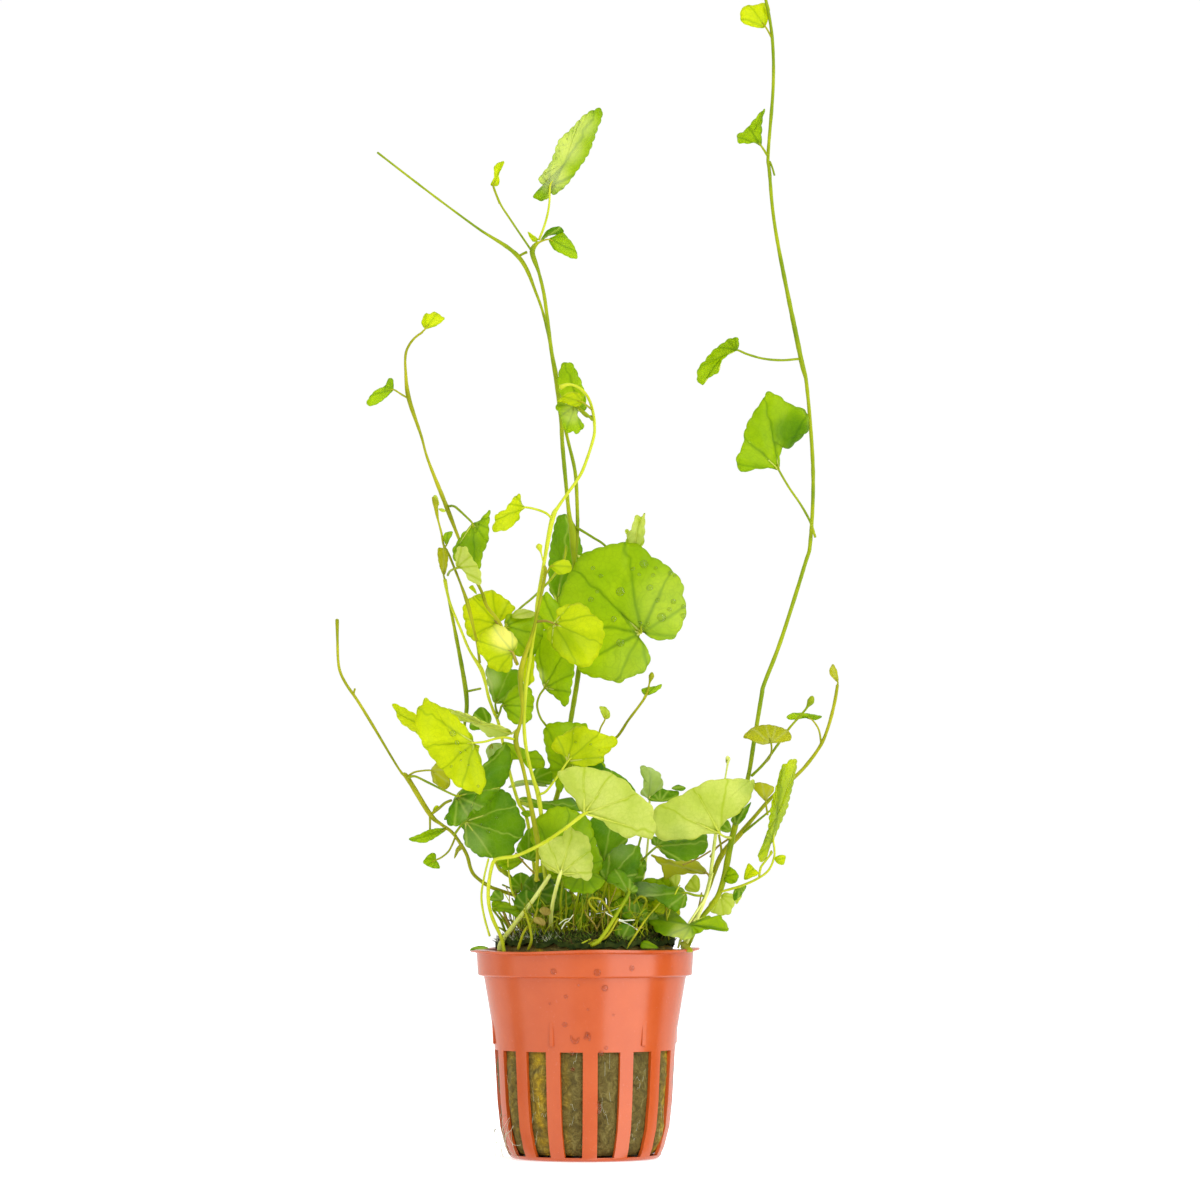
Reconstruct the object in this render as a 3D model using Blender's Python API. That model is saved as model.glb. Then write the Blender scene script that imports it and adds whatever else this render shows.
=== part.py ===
"""Cardamine in a net pot: a moulded pot, its rockwool plug, and the stems and leaves that grow from it.

The origin is the centre of the pot's underside and +Z is the pot's axis. The plant is laid out as it is
seen from the front: stems and leaves are given by points (x, z, depth) in millimetres, where x and z are
read on the plane through the pot's axis and depth runs away from the front, and seen() puts each point
at its depth on the same line of sight.
"""

import math

import bmesh
import bpy
from mathutils import Vector

MM = 0.001

# The front viewpoint, in millimetres.
EYE = Vector((3.8, -1300.0, 78.0))

# The pot, in millimetres.
SKIRT_RADIUS = 27.5
POT_WALL = 0.9
SLOT_COUNT = 15
BAR_WIDTH = 3.7
FIRST_BAR_DEGREES = 3.5
SLOT_BOTTOM = 1.0
SLOT_TOP = 27.4
LUG_COUNT = 6
FIRST_LUG_DEGREES = -20.8
LUG_SIZE = (1.2, 1.6, 6.8)
LUG_RADIUS = 23.5
LUG_MIDDLE = 32.2

# The outside of the pot below its brim, as (radius, height), from the base up.
POT_OUTSIDE = [
    (18.8, 0.0), (19.35, SLOT_BOTTOM), (21.5, 8.0), (22.9, SLOT_TOP), (23.4, 32.5), (25.6, 45.5),
]
# The stepped skirt, the thin brim and the skirt's inside, in the same form.
POT_BRIM = [
    (SKIRT_RADIUS - 0.3, 46.3), (SKIRT_RADIUS, 52.0), (29.2, 52.1), (29.2, 52.7), (26.8, 52.7), (26.5, 47.0),
]

# The rockwool plug's profile, 0.4 mm clear of the pot.
WOOL_PROFILE = [
    (17.9, 1.4), (20.0, 8.0), (21.5, 27.4), (22.2, 45.0), (22.4, 54.0), (21.3, 56.2),
]
WOOL_SIDES = 24

# Every stem and leaf stalk has this many flat sides.
STALK_SIDES = 4

# The leaf blades.
BLADE_THICKNESS = 0.45
STALK_GRIP = 0.9

COLOURS = {
    "pot": (0.74, 0.19, 0.06, 1.0),
    "wool": (0.19, 0.15, 0.04, 1.0),
    "stem": (0.28, 0.38, 0.01, 1.0),
    "upper": (0.33, 0.53, 0.01, 1.0),
    "under": (0.55, 0.66, 0.18, 1.0),
}
ROUGHNESS = {"pot": 0.3, "wool": 0.95, "stem": 0.45, "upper": 0.4, "under": 0.5}

# Each stem: its radius at the foot, its radius at the tip, and its points from the foot up. A fourth
# number is the radius at that point, for buds and swollen nodes.
STEMS = {
    "stem_tall_right": (0.62, 0.4, [
        (23.4, 47.5, 0), (24.9, 50.5, 0), (28.8, 59.4, -1), (34.2, 67.2, -1, 0.75), (37.5, 81.5, 0, 0.8),
        (41.3, 95.7, 2), (42.9, 105, 3), (44.9, 117, 5), (45.6, 120.1, 6), (49.8, 131, 8),
        (55.9, 150.2, 10), (57.4, 156.5, 10), (58.1, 174, 12), (56.6, 195.5, 12), (54.9, 203.8, 12, 0.65),
        (48.8, 234.9, 10), (47.1, 250.9, 8), (46.8, 255.8, 8), (48.1, 272.9, 6), (47.9, 285, 5),
        (46.4, 294.5, 4), (44.6, 300.5, 3),
    ]),
    "stem_branch_right": (0.55, 0.42, [
        (23.2, 47.5, 4.8), (24.6, 50.5, 4.6), (27.4, 59.3, 4), (30.8, 66.5, 4), (34.4, 76, 4, 0.7),
        (39.2, 81.6, 4.5, 0.7), (43.1, 86.3, 5.5), (47.3, 91, 6), (53.5, 96.5, 7), (56.7, 99.9, 8),
        (60, 104.6, 8), (61.9, 109.3, 7), (63.4, 115, 5), (64.2, 119.7, 4),
    ]),
    "stem_side_right": (0.35, 0.25, [
        (40.2, 82.2, 2.6), (48, 88.6, 0),
    ]),
    "stem_bud_right": (0.38, 0.22, [
        (42.3, 96.6, 0.9), (45.6, 99.9, 1), (49.3, 105, 0), (51.9, 108.7, 0), (55.6, 112.9, -1, 0.3),
        (56.6, 114.3, -1, 0.4), (57.4, 115.6, -1, 1), (57.8, 116.8, -1, 0.5),
    ]),
    "stem_stalk_right": (0.6, 0.3, [
        (22.9, 48, -6), (28.2, 60, -4), (30.4, 65.5, -3.5), (31.7, 70.5, -3.5), (33.2, 81.8, -4),
        (36.2, 99.4, -6, 0.25), (36.3, 100.6, -6, 0.8), (36.2, 101.6, -6, 0.3),
    ]),
    "stem_tall_centre": (0.72, 0.42, [
        (-6, 57, 8), (-9, 66, 10), (-10.6, 75, 12), (-9.1, 85, 13), (-6.5, 94, 14), (-3.7, 110.3, 14),
        (-1.5, 125, 16), (-1.7, 137, 18), (-2.7, 150, 18), (-3.1, 157, 17, 0.95), (-3.3, 160, 17, 0.95),
        (-4.1, 163.5, 16), (-5.7, 180, 12), (-6.1, 187, 11), (-7.3, 197.5, 9, 0.65), (-8.6, 205, 7),
        (-9.6, 213, 6), (-10.5, 219.5, 4), (-11.8, 225, 3), (-13.5, 230.4, 1, 0.7), (-12, 232.9, 0),
    ]),
    "stem_twin_centre": (0.5, 0.28, [
        (-1.9, 161.4, 17.2), (-2.2, 170, 17.5), (-2.8, 175.5, 16.5), (-4.9, 184.5, 14), (-7.2, 197.5, 12.3),
        (-9.8, 211, 9), (-12.4, 219.5, 7), (-17.1, 229.2, 3, 0.6), (-27.8, 236.7, -3), (-40.3, 246, -9),
        (-53.1, 255.9, -14),
    ]),
    "stem_lower_centre": (0.5, 0.4, [
        (-12.4, 69.9, -16.2), (-12, 77.8, -18), (-12.1, 80.4, -18, 0.7), (-15.5, 97.5, -18),
        (-17.6, 105.4, -17, 0.7), (-16.6, 109.5, -16), (-15.9, 114, -15.5), (-16.3, 123.2, -14.5, 0.7),
        (-13.1, 134, -13), (-10.2, 147.5, -9), (-10.4, 150, -8.6),
    ]),
    "stem_looped": (0.5, 0.36, [
        (-8, 57, -3), (-9.6, 67, -5.5), (-10.6, 76, -7), (-10.9, 84.3, -8), (-11.9, 91.8, -9.5, 0.65),
        (-13.1, 95.7, -10), (-14.4, 100.6, -10), (-15.3, 106.2, -10), (-15.5, 112, -10), (-14.9, 120, -10),
        (-13.4, 130, -9), (-12.5, 136.5, -9), (-12.1, 141.3, -8.5), (-10.6, 150, -7),
        (-8.4, 161.8, -6.5, 0.65), (-6.6, 165.5, -6), (-2, 172, -4), (-0.2, 175.5, -3), (2.1, 182.5, -2),
        (2.4, 186, -2), (1.9, 189.8, -2), (0.9, 192.8, -3), (-0.7, 194.9, -5), (-2.7, 196.1, -6),
        (-4.5, 196.4, -7), (-6.3, 195.6, -7.5, 0.7),
    ]),
    "stem_tall_left": (0.45, 0.3, [
        (-17.2, 124.9, -12.9), (-21.4, 134.9, -9), (-25, 139.8, -5), (-26.2, 143.2, -3), (-29, 149, 0),
        (-32.3, 157.4, 2), (-35.4, 165.4, 5, 0.6), (-40, 177, 7), (-41.8, 183.3, 8), (-45, 193, 8, 0.6),
        (-45.8, 200, 7), (-45.8, 204, 6), (-45, 206.3, 5), (-43.5, 208.3, 4), (-41.5, 209.8, 3),
    ]),
    "stem_thin_left": (0.36, 0.28, [
        (-26.8, 125.4, -3.2), (-27.4, 130, -6), (-28.2, 133.5, -7), (-29.9, 140.4, -7, 0.5),
        (-31.5, 145, -6), (-33, 148.8, -4), (-34.8, 153.2, -3), (-36, 155.3, -3), (-36.6, 158.5, -3),
        (-37.5, 162, -2), (-38, 165, -2, 0.6), (-38.2, 166.5, -2, 0.8), (-38.9, 167.6, -2, 0.2),
    ]),
    "stem_yellow_left": (0.45, 0.32, [
        (-11, 57, 4), (-14.4, 84, 2), (-17, 90.1, 1), (-19.6, 99.2, 1), (-21.9, 109.6, 0),
        (-23.2, 112.9, 0), (-24.5, 116.5, -1), (-25.4, 120.4, -1), (-26.4, 123.7, -1.5, 0.6),
        (-28.7, 127.3, -1), (-30, 129.8, 0), (-31.5, 133.5, 0), (-34.5, 141, 1.5), (-35.7, 146.6, 2, 0.5),
    ]),
    "stem_dark_left": (0.45, 0.35, [
        (-9, 57, 9), (-12.5, 62, 9), (-15.5, 67, 8.5), (-18.6, 70.6, 8), (-20.6, 72.4, 8, 0.7),
        (-22.7, 75, 8), (-28.3, 92, 8), (-30, 101, 8), (-30.6, 109, 7), (-30.3, 118, 6, 0.6),
        (-34.7, 141.6, 3.4),
    ]),
    "stem_far_left": (0.5, 0.35, [
        (-6.5, 57, 2), (-10, 62, 1), (-14, 65, -1), (-21.2, 67.4, -4), (-24.5, 68.7, -5), (-27.7, 71, -6),
        (-29, 73, -6), (-30, 76.5, -6), (-31.9, 79.8, -7), (-33.9, 82.4, -8), (-36.5, 84.3, -8),
        (-39.4, 86.9, -9, 0.6), (-45.2, 96.2, -9, 0.65), (-47.2, 98.2, -9, 0.3), (-54.3, 110, -9),
        (-57.9, 115.8, -8), (-60.6, 119.7, -8), (-62.2, 122.8, -7), (-62.8, 125.8, -7), (-63, 131, -6),
        (-63.1, 136.4, -6, 0.5),
    ]),
    "stem_thick_base": (0.72, 0.5, [
        (-21.6, 52.3, -10.8), (-20.7, 55.2, -11), (-13.4, 64.8, -13.5), (-8.9, 71.4, -16),
    ]),
    "shoot_centre": (0.4, 0.28, [
        (-3.1, 104.2, 12.2), (2, 104.6, 11), (7.5, 106, 9), (11.1, 110.9, 6), (14.7, 115.7, 4),
        (15.8, 117.8, 3.5), (16.4, 120.3, 3, 0.25), (16.9, 122, 3, 0.75), (17, 122.9, 3, 0.3),
    ]),
}


# Branches too short for a node of their own: the stem that each grows from, its two radii and its points.
TWIGS = [
    ("stem_tall_right", 0.3, 0.25, [(47.2, 253.6, 8), (47.9, 251.8, 7.6), (48.4, 250, 7.2)]),
    ("stem_branch_right", 0.35, 0.3, [(34.4, 76, 4), (34.6, 78, 4), (34, 81.6, 3)]),
    ("stem_tall_centre", 0.28, 0.25, [
        (-13.5, 230.4, 1), (-16.5, 234.8, -1), (-19.5, 239.3, -3), (-21.6, 242.6, -4), (-23.5, 247.3, -5),
    ]),
    ("stem_twin_centre", 0.35, 0.4, [(-17.1, 229.2, 3), (-15.6, 230, 3.5), (-14.9, 230.3, 3.7)]),
    ("stem_looped", 0.25, 0.25, [(-10.7, 151.4, -7), (-11.2, 153.4, -8), (-11.7, 155, -8.5, 0.85),
                                 (-11.8, 155.6, -8.5, 0.4)]),
    ("stem_dark_left", 0.3, 0.3, [(-30.3, 118, 6), (-28.5, 118.4, 4.5), (-26.6, 118.8, 1.5)]),
    ("stem_far_left", 0.4, 0.35, [(-39, 87, -9), (-37.4, 88.1, -10), (-35.6, 89.7, -12), (-34, 90.4, -14)]),
    ("stem_far_left", 0.3, 0.22, [(-39.4, 86.5, -9), (-39.4, 83, -10), (-39.8, 81.2, -10.5)]),
    ("stem_far_left", 0.28, 0.25, [(-58, 116, -8), (-58.8, 117.3, -8.2), (-58.5, 118.8, -8.4)]),
]

# Small leaves fused to the stems that they grow from: the stem, the leaf stalk, the outline from the leaf's
# base round to it again, and the blade's slope, as depth gained for each step in x and in z.
SMALL_LEAVES = [
    ("stem_tall_right", [(47.7, 285.5, 5), (46.9, 287, 4), (46.1, 288.3, 3)], [
        (44.8, 287.9), (42.4, 288.4), (40, 289.6), (39.8, 292.3), (41.2, 293.7), (43.3, 293.8), (45.5, 294.4),
        (46.9, 294), (47.2, 291.8),
    ], (0.3, 0.5)),
    ("stem_tall_right", [(34.9, 70.7, -0.8), (35.2, 71, -1.2)], [
        (35.3, 72.3), (36.1, 73.5), (37.3, 73.3), (38.5, 72.2), (39, 70.9), (38, 69.4), (36.4, 69.3), (35.3, 70.1),
    ], (-0.6, 0.3)),
    ("stem_branch_right", [(64.2, 119.7, 4), (64.3, 120.4, 4)], [
        (63, 121.5), (62.1, 123), (62.9, 125), (63.9, 123.8), (64.4, 121.7),
    ], (0.6, 0)),
    ("stem_branch_right", [(60, 105, 8), (59.4, 108.4, 7), (57.7, 110.9, 6)], [
        (56.2, 111.4), (52.5, 110.9), (51.2, 111.4), (52.5, 112.5), (55, 112.6), (57, 112.4), (60.2, 111.7),
        (58.6, 110.8),
    ], (-0.2, 1.2)),
    ("stem_side_right", [(46.3, 87.2, 0.6), (46, 89.2, 0), (45.9, 90.2, 0)], [
        (44.5, 91.4), (42.8, 93.5), (42.6, 94.6), (45, 94.9), (48, 93.7), (47.4, 92), (46.6, 91.2),
    ], (0.3, 0.4)),
    ("stem_bud_right", [(45.9, 100.1, 1), (46.8, 101, -3), (47.4, 103, -6), (47.3, 104.9, -8)], [
        (44.8, 104.6), (41.8, 105.9), (40.2, 106.6), (42.8, 109), (45.2, 109.5), (47.5, 109.5), (51.5, 108.2),
        (52.5, 106), (51, 105.3), (49, 105),
    ], (0, 1.0)),
    ("stem_tall_centre", [(-12, 232.6, 0), (-11.2, 233.1, -0.5), (-9.3, 233.6, -2)], [
        (-8.2, 234.3), (-5.7, 235.3), (-4.8, 234.4), (-3, 232.2), (-1.9, 229), (-3.4, 228.7), (-6.2, 230),
        (-7.8, 230.8), (-8.9, 232.4),
    ], (0.4, 0.5)),
    ("stem_tall_centre", [(-22, 243.2, -4), (-23.5, 247.2, -5)], [
        (-24.2, 247.7), (-23.3, 249.6), (-23.2, 252.4), (-21.4, 253.6), (-20.7, 253.3), (-22, 250.7),
        (-21.9, 248.4), (-22.3, 247.4),
    ], (0.8, 0.1)),
    ("stem_lower_centre", [(-10.2, 147.6, -9), (-9.3, 149, -11), (-8.8, 150, -12)], [
        (-7.7, 151), (-6.3, 151.5), (-4.4, 151.5), (-3.4, 149.9), (-3.8, 148.6), (-6.5, 147.8), (-8.2, 149),
    ], (0.2, 0.6)),
    ("stem_looped", [(1.8, 189.9, -2), (0, 191.4, -6), (-0.7, 191.9, -8)], [
        (-0.6, 193), (-1.3, 194), (-3.5, 194.5), (-5.4, 193.7), (-7, 192), (-5.5, 191.8), (-3.2, 190.9),
        (-1.4, 190.9),
    ], (0.2, 0.9)),
    ("stem_tall_left", [(-41.8, 209.6, 3.2), (-40.8, 210.6, 2)], [
        (-41.8, 212.2), (-40.8, 214.6), (-39.8, 214.4), (-38.4, 215), (-36.6, 213.9), (-35.9, 213.1),
        (-38, 211.4), (-39.8, 210.8),
    ], (0.2, 0.4)),
    ("stem_tall_left", [(-45.2, 192.9, 8), (-46.9, 193.9, 5), (-48.9, 195.1, 3)], [
        (-49, 197.6), (-50, 198), (-51, 196.1), (-53.7, 194.7), (-55.7, 192), (-55, 190.9), (-52.8, 191.5),
        (-50.6, 193.2), (-49.6, 194.2),
    ], (0.3, 0.7)),
    ("stem_thin_left", [(-35.8, 154.9, -3), (-35.3, 155.3, -4.5)], [
        (-36.2, 157.2), (-35.6, 158.5), (-33.7, 158.7), (-34.6, 156.6),
    ], (0.4, 0.3)),
    ("stem_yellow_left", [(-35.6, 146.2, 2), (-36, 147.6, 1.4)], [
        (-37.2, 150.5), (-37.5, 154.4), (-35.8, 154.5), (-34.9, 154), (-35.1, 150),
    ], (0.6, -0.2)),
    ("stem_far_left", [(-45.2, 96.4, -9), (-43.5, 97.5, -10), (-41.5, 97.9, -11), (-39.2, 98, -12)], [
        (-38.4, 99.3), (-37.4, 99.7), (-35, 96.8), (-34.2, 94.9), (-35.4, 93.2), (-38.4, 94.8), (-38.9, 96.3),
    ], (0.2, 0.3)),
    ("stem_far_left", [(-36.3, 84.2, -8), (-35.2, 83.1, -9.6)], [
        (-37.6, 83.3), (-40, 82.8), (-41.6, 82), (-44.8, 80.5), (-41.4, 79.6), (-39.5, 80.1), (-37.3, 81.4),
    ], (0.3, 0.5)),
    ("stem_far_left", [(-32.9, 81.2, -7.5), (-33.8, 79, -8.5), (-34.8, 77.3, -9.5), (-36.5, 75.9, -10.5),
                       (-37.8, 75.3, -11)], [
        (-38, 76.9), (-39.5, 76.8), (-41.1, 74.8), (-40.2, 73.9), (-38.6, 73.2), (-36.9, 73.2), (-37.2, 74.4),
    ], (0.2, 0.4)),
    ("shoot_centre", [(14.8, 115.9, 4), (15.3, 117.1, 3.2)], [
        (14.3, 118.5), (16, 119.2), (18, 119.4), (19.5, 119.9), (19.2, 118.9), (17.4, 117.6),
    ], (0.2, 0.5)),
    ("shoot_centre", [(3.2, 104.8, 10.6), (3.8, 108.4, 10), (5.1, 111, 9.5)], [
        (4.2, 112.4), (3.7, 114.2), (5.2, 114.1), (6.2, 112.9), (6.3, 111.5),
    ], (0.3, 0.2)),
]

# Each leaf with a node of its own: its stalk from the stem to the blade's base, the blade's outline from
# the base round to it again, its slope in x and z, and the side that faces front.
LEAVES = {
    "leaf_right_high": ([(46.3, 255.6, 7.2), (45.8, 256.4, 6.5), (45, 257.6, 6)], [
        (39.4, 258.5), (38.9, 260.3), (41.3, 262), (43.3, 264.8), (45.8, 267.1),
    ], (-0.5, 0.5), "upper"),
    "leaf_right_curled": ([(54.1, 202.9, 11), (50, 202.6, 8), (45.5, 203, 5), (41.5, 204.1, 2),
        (38.8, 205.2, 0)], [
        (39.3, 207), (38.9, 208.3), (37, 208.2), (32.5, 204.9), (28.9, 200.6), (28.6, 197.6), (29.9, 196.3),
        (31.2, 198), (33.8, 199.4), (35.2, 202.6),
    ], (-0.5, 0.6), "upper"),
    "leaf_right_folded": ([(58.5, 157.8, 9), (57.4, 161.2, 7), (55, 165.6, 3), (52, 170, 1),
        (49.4, 174.5, -1)], [
        (45, 174.9), (39.9, 174), (38.5, 177), (40.2, 181), (40.9, 185.3), (46.6, 194.6), (56.6, 189),
        (57, 185), (54.2, 182), (50, 179),
    ], (0.3, 0.35), "upper"),
    "leaf_top_long": ([(-11.6, 233.9, 0.4), (-10.6, 236.5, -1), (-9.6, 240, -2), (-9.1, 243.5, -2.5),
        (-9, 247.4, -3)], [
        (-9.6, 244.3), (-11.2, 243.5), (-13.2, 244.7), (-10.6, 247.4), (-11.9, 248.9), (-9, 253),
        (-6.7, 259), (0, 265.7), (3.8, 267.3), (4.3, 265), (0.7, 255.3), (-6.5, 245.7), (-8.3, 245),
    ], (0.9, -0.5), "under"),
    "leaf_loop_back": ([(1.4, 188.2, -1.2), (0.4, 188.2, 0.6), (-1, 189.4, 2)], [
        (-3.5, 190.3), (-6, 193), (-7, 197), (-5.8, 201.7), (-4.4, 202.1), (-3.1, 201.5), (-0.7, 196.4),
        (0.3, 190.3),
    ], (-0.1, 0.15), "upper"),
    "leaf_loop_front": ([(1.6, 187.6, -3), (0, 189.2, -5.4), (-2.6, 190.9, -5)], [
        (-7.1, 191.6), (-7.4, 190.3), (-5.1, 184.4), (-2.2, 183.8), (-0.7, 184.9), (-0.4, 186.3),
        (-1.8, 188),
    ], (0.2, 0.3), "upper"),
    "leaf_left_high": ([(-34.4, 165.3, 3.9), (-33.2, 165.2, 2.2), (-30.3, 162.6, -1), (-28.7, 160.9, -2.5)], [
        (-31.3, 158.2), (-33.7, 154), (-32.7, 151.6), (-29.5, 149.2), (-27, 148.8), (-24.7, 156.8),
        (-24.2, 163.9), (-27.1, 161.4),
    ], (0.5, 0.4), "upper"),
    "leaf_left_pale": ([(-34.9, 147.8, 0.9), (-34.5, 148.6, -3), (-33.6, 149.2, -7), (-32.6, 149.5, -9)], [
        (-32.6, 154.6), (-30.2, 154.8), (-26.4, 147), (-26.6, 145.2), (-30.2, 147.5), (-31.3, 149),
    ], (-0.3, -0.3), "under"),
    "leaf_loop_side": ([(-8.9, 162.6, -7.4), (-9.9, 163.5, -9), (-12.2, 164.4, -11), (-15.2, 165, -13)], [
        (-16.2, 165.8), (-16.8, 168.3), (-22.7, 163.2), (-23.7, 159), (-19.5, 159.4), (-16.8, 162),
    ], (0.5, 0.6), "upper"),
    "leaf_left_broad": ([(-21.6, 132.3, -5), (-21.9, 133.8, -3.4), (-22.3, 135.3, -1.2)], [
        (-24.5, 132.6), (-27.6, 130.9), (-29.9, 132.5), (-31.1, 139.3), (-29.4, 141.8), (-24, 143.9),
        (-18.6, 140.3), (-17.9, 138.9),
    ], (-0.1, 0.4), "upper"),
    "leaf_left_veined": ([(-4.9, 154.6, 16.2), (-5.4, 151.5, 14), (-8, 147.5, 11), (-10.4, 144.8, 8),
        (-13.5, 141.8, 4), (-16.5, 139.3, -1), (-19, 136.5, -4.5), (-20.4, 134.6, -6.5)], [
        (-20, 137.4), (-12.5, 138.2), (-11, 137), (-10.7, 133), (-13, 127.5), (-15.3, 126.8),
        (-17.6, 128.6),
    ], (0.3, 0.3), "upper"),
    "leaf_left_turned": ([(-17.8, 125.9, -14.3), (-18.1, 126.8, -15), (-18.5, 128.1, -15.5)], [
        (-17.3, 129.5), (-18, 132.3), (-22.3, 135.1), (-26.2, 133.1), (-27.4, 130.3), (-27.1, 128),
        (-25.4, 126.4), (-24.4, 124.3), (-22, 123.2), (-19.3, 123.2), (-18.4, 125.4),
    ], (0, 0.15), "under"),
    "leaf_left_shaded": ([(-22.4, 112.8, 1.2), (-22.7, 113.8, 2.6), (-22.8, 115, 4)], [
        (-25, 121), (-25, 124.5), (-22.5, 125), (-16.3, 122.8), (-16, 119.5), (-16.8, 116.9),
        (-19.5, 115.6),
    ], (-0.15, 0.3), "upper"),
    "leaf_left_low": ([(-22.2, 111.6, -1.2), (-21.6, 113, -2.4), (-21.1, 114.6, -3)], [
        (-19.2, 110.8), (-17.6, 109.8), (-15.5, 109.9), (-13.8, 110.9), (-13, 116), (-13.8, 118.6),
        (-15.5, 120), (-18.5, 119), (-20.5, 116.5),
    ], (0.2, 0.2), "upper"),
    "leaf_centre_heart": ([(-5.8, 104.4, 12.6), (-7.5, 106.3, 9), (-9.9, 109.4, 5), (-11.4, 111.5, 3),
        (-12.2, 114.5, 1), (-11.6, 117, -1), (-10.3, 118.9, -2)], [
        (-12.7, 126), (-12.6, 129.8), (-11.3, 133.2), (-8.5, 134), (-5.5, 131), (-3.5, 127), (-2.7, 123.5),
        (-4.9, 114.2),
    ], (-0.2, 0.2), "upper"),
    "leaf_centre_round": ([(-1.9, 159.7, 16.6), (2, 157.3, 16), (5.3, 155, 15), (10, 149, 13),
        (13.2, 141, 9), (14.3, 133, 4)], [
        (13.8, 131), (15.2, 129.7), (16.6, 126.5), (15.3, 123.4), (8.8, 120.2), (1.2, 121.9), (-1.5, 123.6),
        (-4.5, 128), (-7.3, 134), (-7.1, 139.5), (-5.3, 145.5), (-1.9, 151.6), (1.5, 153.9), (7, 155.8),
        (12, 156), (20, 150.8), (24.5, 147), (25.8, 139), (24.9, 135.4), (22, 131.4), (17.4, 131.3),
    ], (-0.15, 0.3), "upper"),
    "leaf_centre_bright": ([(-12, 135.9, -9.4), (-9.8, 136, -10), (-8, 135.4, -10.5)], [
        (-7.3, 138.6), (-5.5, 139.9), (-1, 140.5), (4.7, 134), (4.2, 129.5), (2.4, 125.5), (-0.8, 124.3),
        (-5, 126.3), (-8.5, 129.8), (-10.6, 133.2),
    ], (0.05, 0.25), "upper"),
    "leaf_centre_crumpled": ([(-1.6, 152.5, 18.6), (4, 150.5, 19.5), (10, 150.5, 18), (12.3, 153.5, 15.5)], [
        (8.9, 155.8), (11.9, 159.8), (13.4, 163), (15.2, 163.4), (14.9, 156),
    ], (0.2, -0.3), "under"),
    "leaf_centre_dark": ([(-2.6, 138, 19), (-4.5, 139, 20.5), (-7, 141, 22)], [
        (-9, 143.8), (-9.2, 151.5), (-7.1, 162.3), (-4.6, 163), (-2.5, 160), (-1, 155.6), (-0.6, 151),
        (-3, 145), (-5, 142),
    ], (0, 0.1), "upper"),
    "leaf_centre_low": ([(-11.1, 92.1, -10.2), (-9.8, 92.8, -10), (-6.9, 96.6, -9), (-4.4, 100.3, -8)], [
        (-8.3, 103.2), (-8.1, 105.4), (-0.8, 109.3), (8.4, 105.3), (4.3, 100.6), (1, 98.8), (-2, 98.9),
    ], (0.1, 0.4), "upper"),
    "leaf_centre_back": ([(-6.6, 95.6, 12.2), (-6.2, 96.8, 8), (-4.6, 98.5, 2.5)], [
        (-6.5, 92.4), (-9.9, 103), (-9.7, 109.6), (-1, 110), (0.8, 108.9), (4, 103), (5, 98.2), (2, 94.5),
        (-2.5, 91.6),
    ], (0, 0.08), "upper"),
    "leaf_centre_grey": ([(10.5, 57, 4), (14.2, 68, 4.5), (16, 80, 4), (16.4, 90.3, 2)], [
        (14.2, 92), (14.9, 94.5), (13.9, 98), (14.4, 99.1), (17, 98.5), (19.5, 96.2), (19.8, 93),
    ], (0.3, -0.3), "under"),
    "leaf_outer_bright": ([(-18.5, 106, -17.8), (-20.5, 106.4, -20), (-23, 106, -23), (-25.5, 105.3, -25),
        (-28.2, 105, -26)], [
        (-29.4, 108.4), (-33.5, 112.3), (-40.5, 116.4), (-42.2, 114.7), (-43.1, 110.8), (-41.9, 106),
        (-38, 100), (-34, 95.6), (-30.5, 93.2), (-26.4, 92.2), (-25.2, 95.6), (-26.9, 103),
    ], (0.1, 0.35), "upper"),
    "leaf_outer_back": ([(-31.3, 109.3, 6), (-34, 109, -2), (-37, 108.6, -11), (-39.5, 108.2, -16)], [
        (-42.6, 107.5), (-46, 109.5), (-49.2, 115.1), (-45, 113.5), (-41, 111.6),
    ], (-0.2, -0.3), "upper"),
    "leaf_outer_edge": ([(-17.7, 108, -15.2), (-18.1, 107.7, -14.4), (-18.8, 107.3, -13)], [
        (-20.5, 106.6), (-24.5, 106.8), (-28, 109.5), (-32.8, 111.3), (-34.9, 112.8), (-34, 113.6),
        (-26, 110.3), (-21.5, 109.2),
    ], (-0.9, -3.2), "under"),
    "leaf_outer_crinkled": ([(-44.6, 96.3, -10.2), (-43.2, 96.5, -11), (-40, 95, -14), (-36, 93, -18),
        (-32.6, 91.5, -20)], [
        (-35.2, 85.3), (-33, 83.8), (-30.5, 85.5), (-28.7, 88.1), (-26.2, 88.4), (-20, 95.5), (-18.9, 101),
        (-19.4, 104), (-21.6, 103.8),
    ], (0.25, 0.2), "upper"),
    "leaf_front_pale": ([(-20.6, 52.3, -13), (-21.2, 55.4, -13), (-23.5, 60.6, -14.5), (-24.5, 64.8, -17),
        (-24.4, 69.6, -20), (-23.3, 74.7, -24), (-21.5, 75.7, -26), (-17.3, 76.4, -28), (-11.1, 79.3, -32),
        (-5.6, 82.9, -34), (-0.2, 87, -35)], [
        (-5.2, 93.4), (-6.9, 97.2), (-2, 99), (2.7, 98.4), (7.5, 96.8), (16.5, 89.6), (17.9, 84),
        (17.2, 80.7), (13, 81.3), (10.8, 80.9), (6.2, 83.4), (3.4, 85.8),
    ], (0.1, -0.3), "under"),
    "leaf_front_dark": ([(-33, 82, -9), (-31.5, 84, -11), (-30.3, 85, -12)], [
        (-26, 88.8), (-22.5, 93), (-20.1, 92.7), (-17.9, 90.3), (-15.1, 84.8), (-16, 81), (-17.8, 77.3),
        (-21.5, 75.7), (-26.8, 76.2), (-30.5, 79.4),
    ], (0, 0.2), "upper"),
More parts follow.
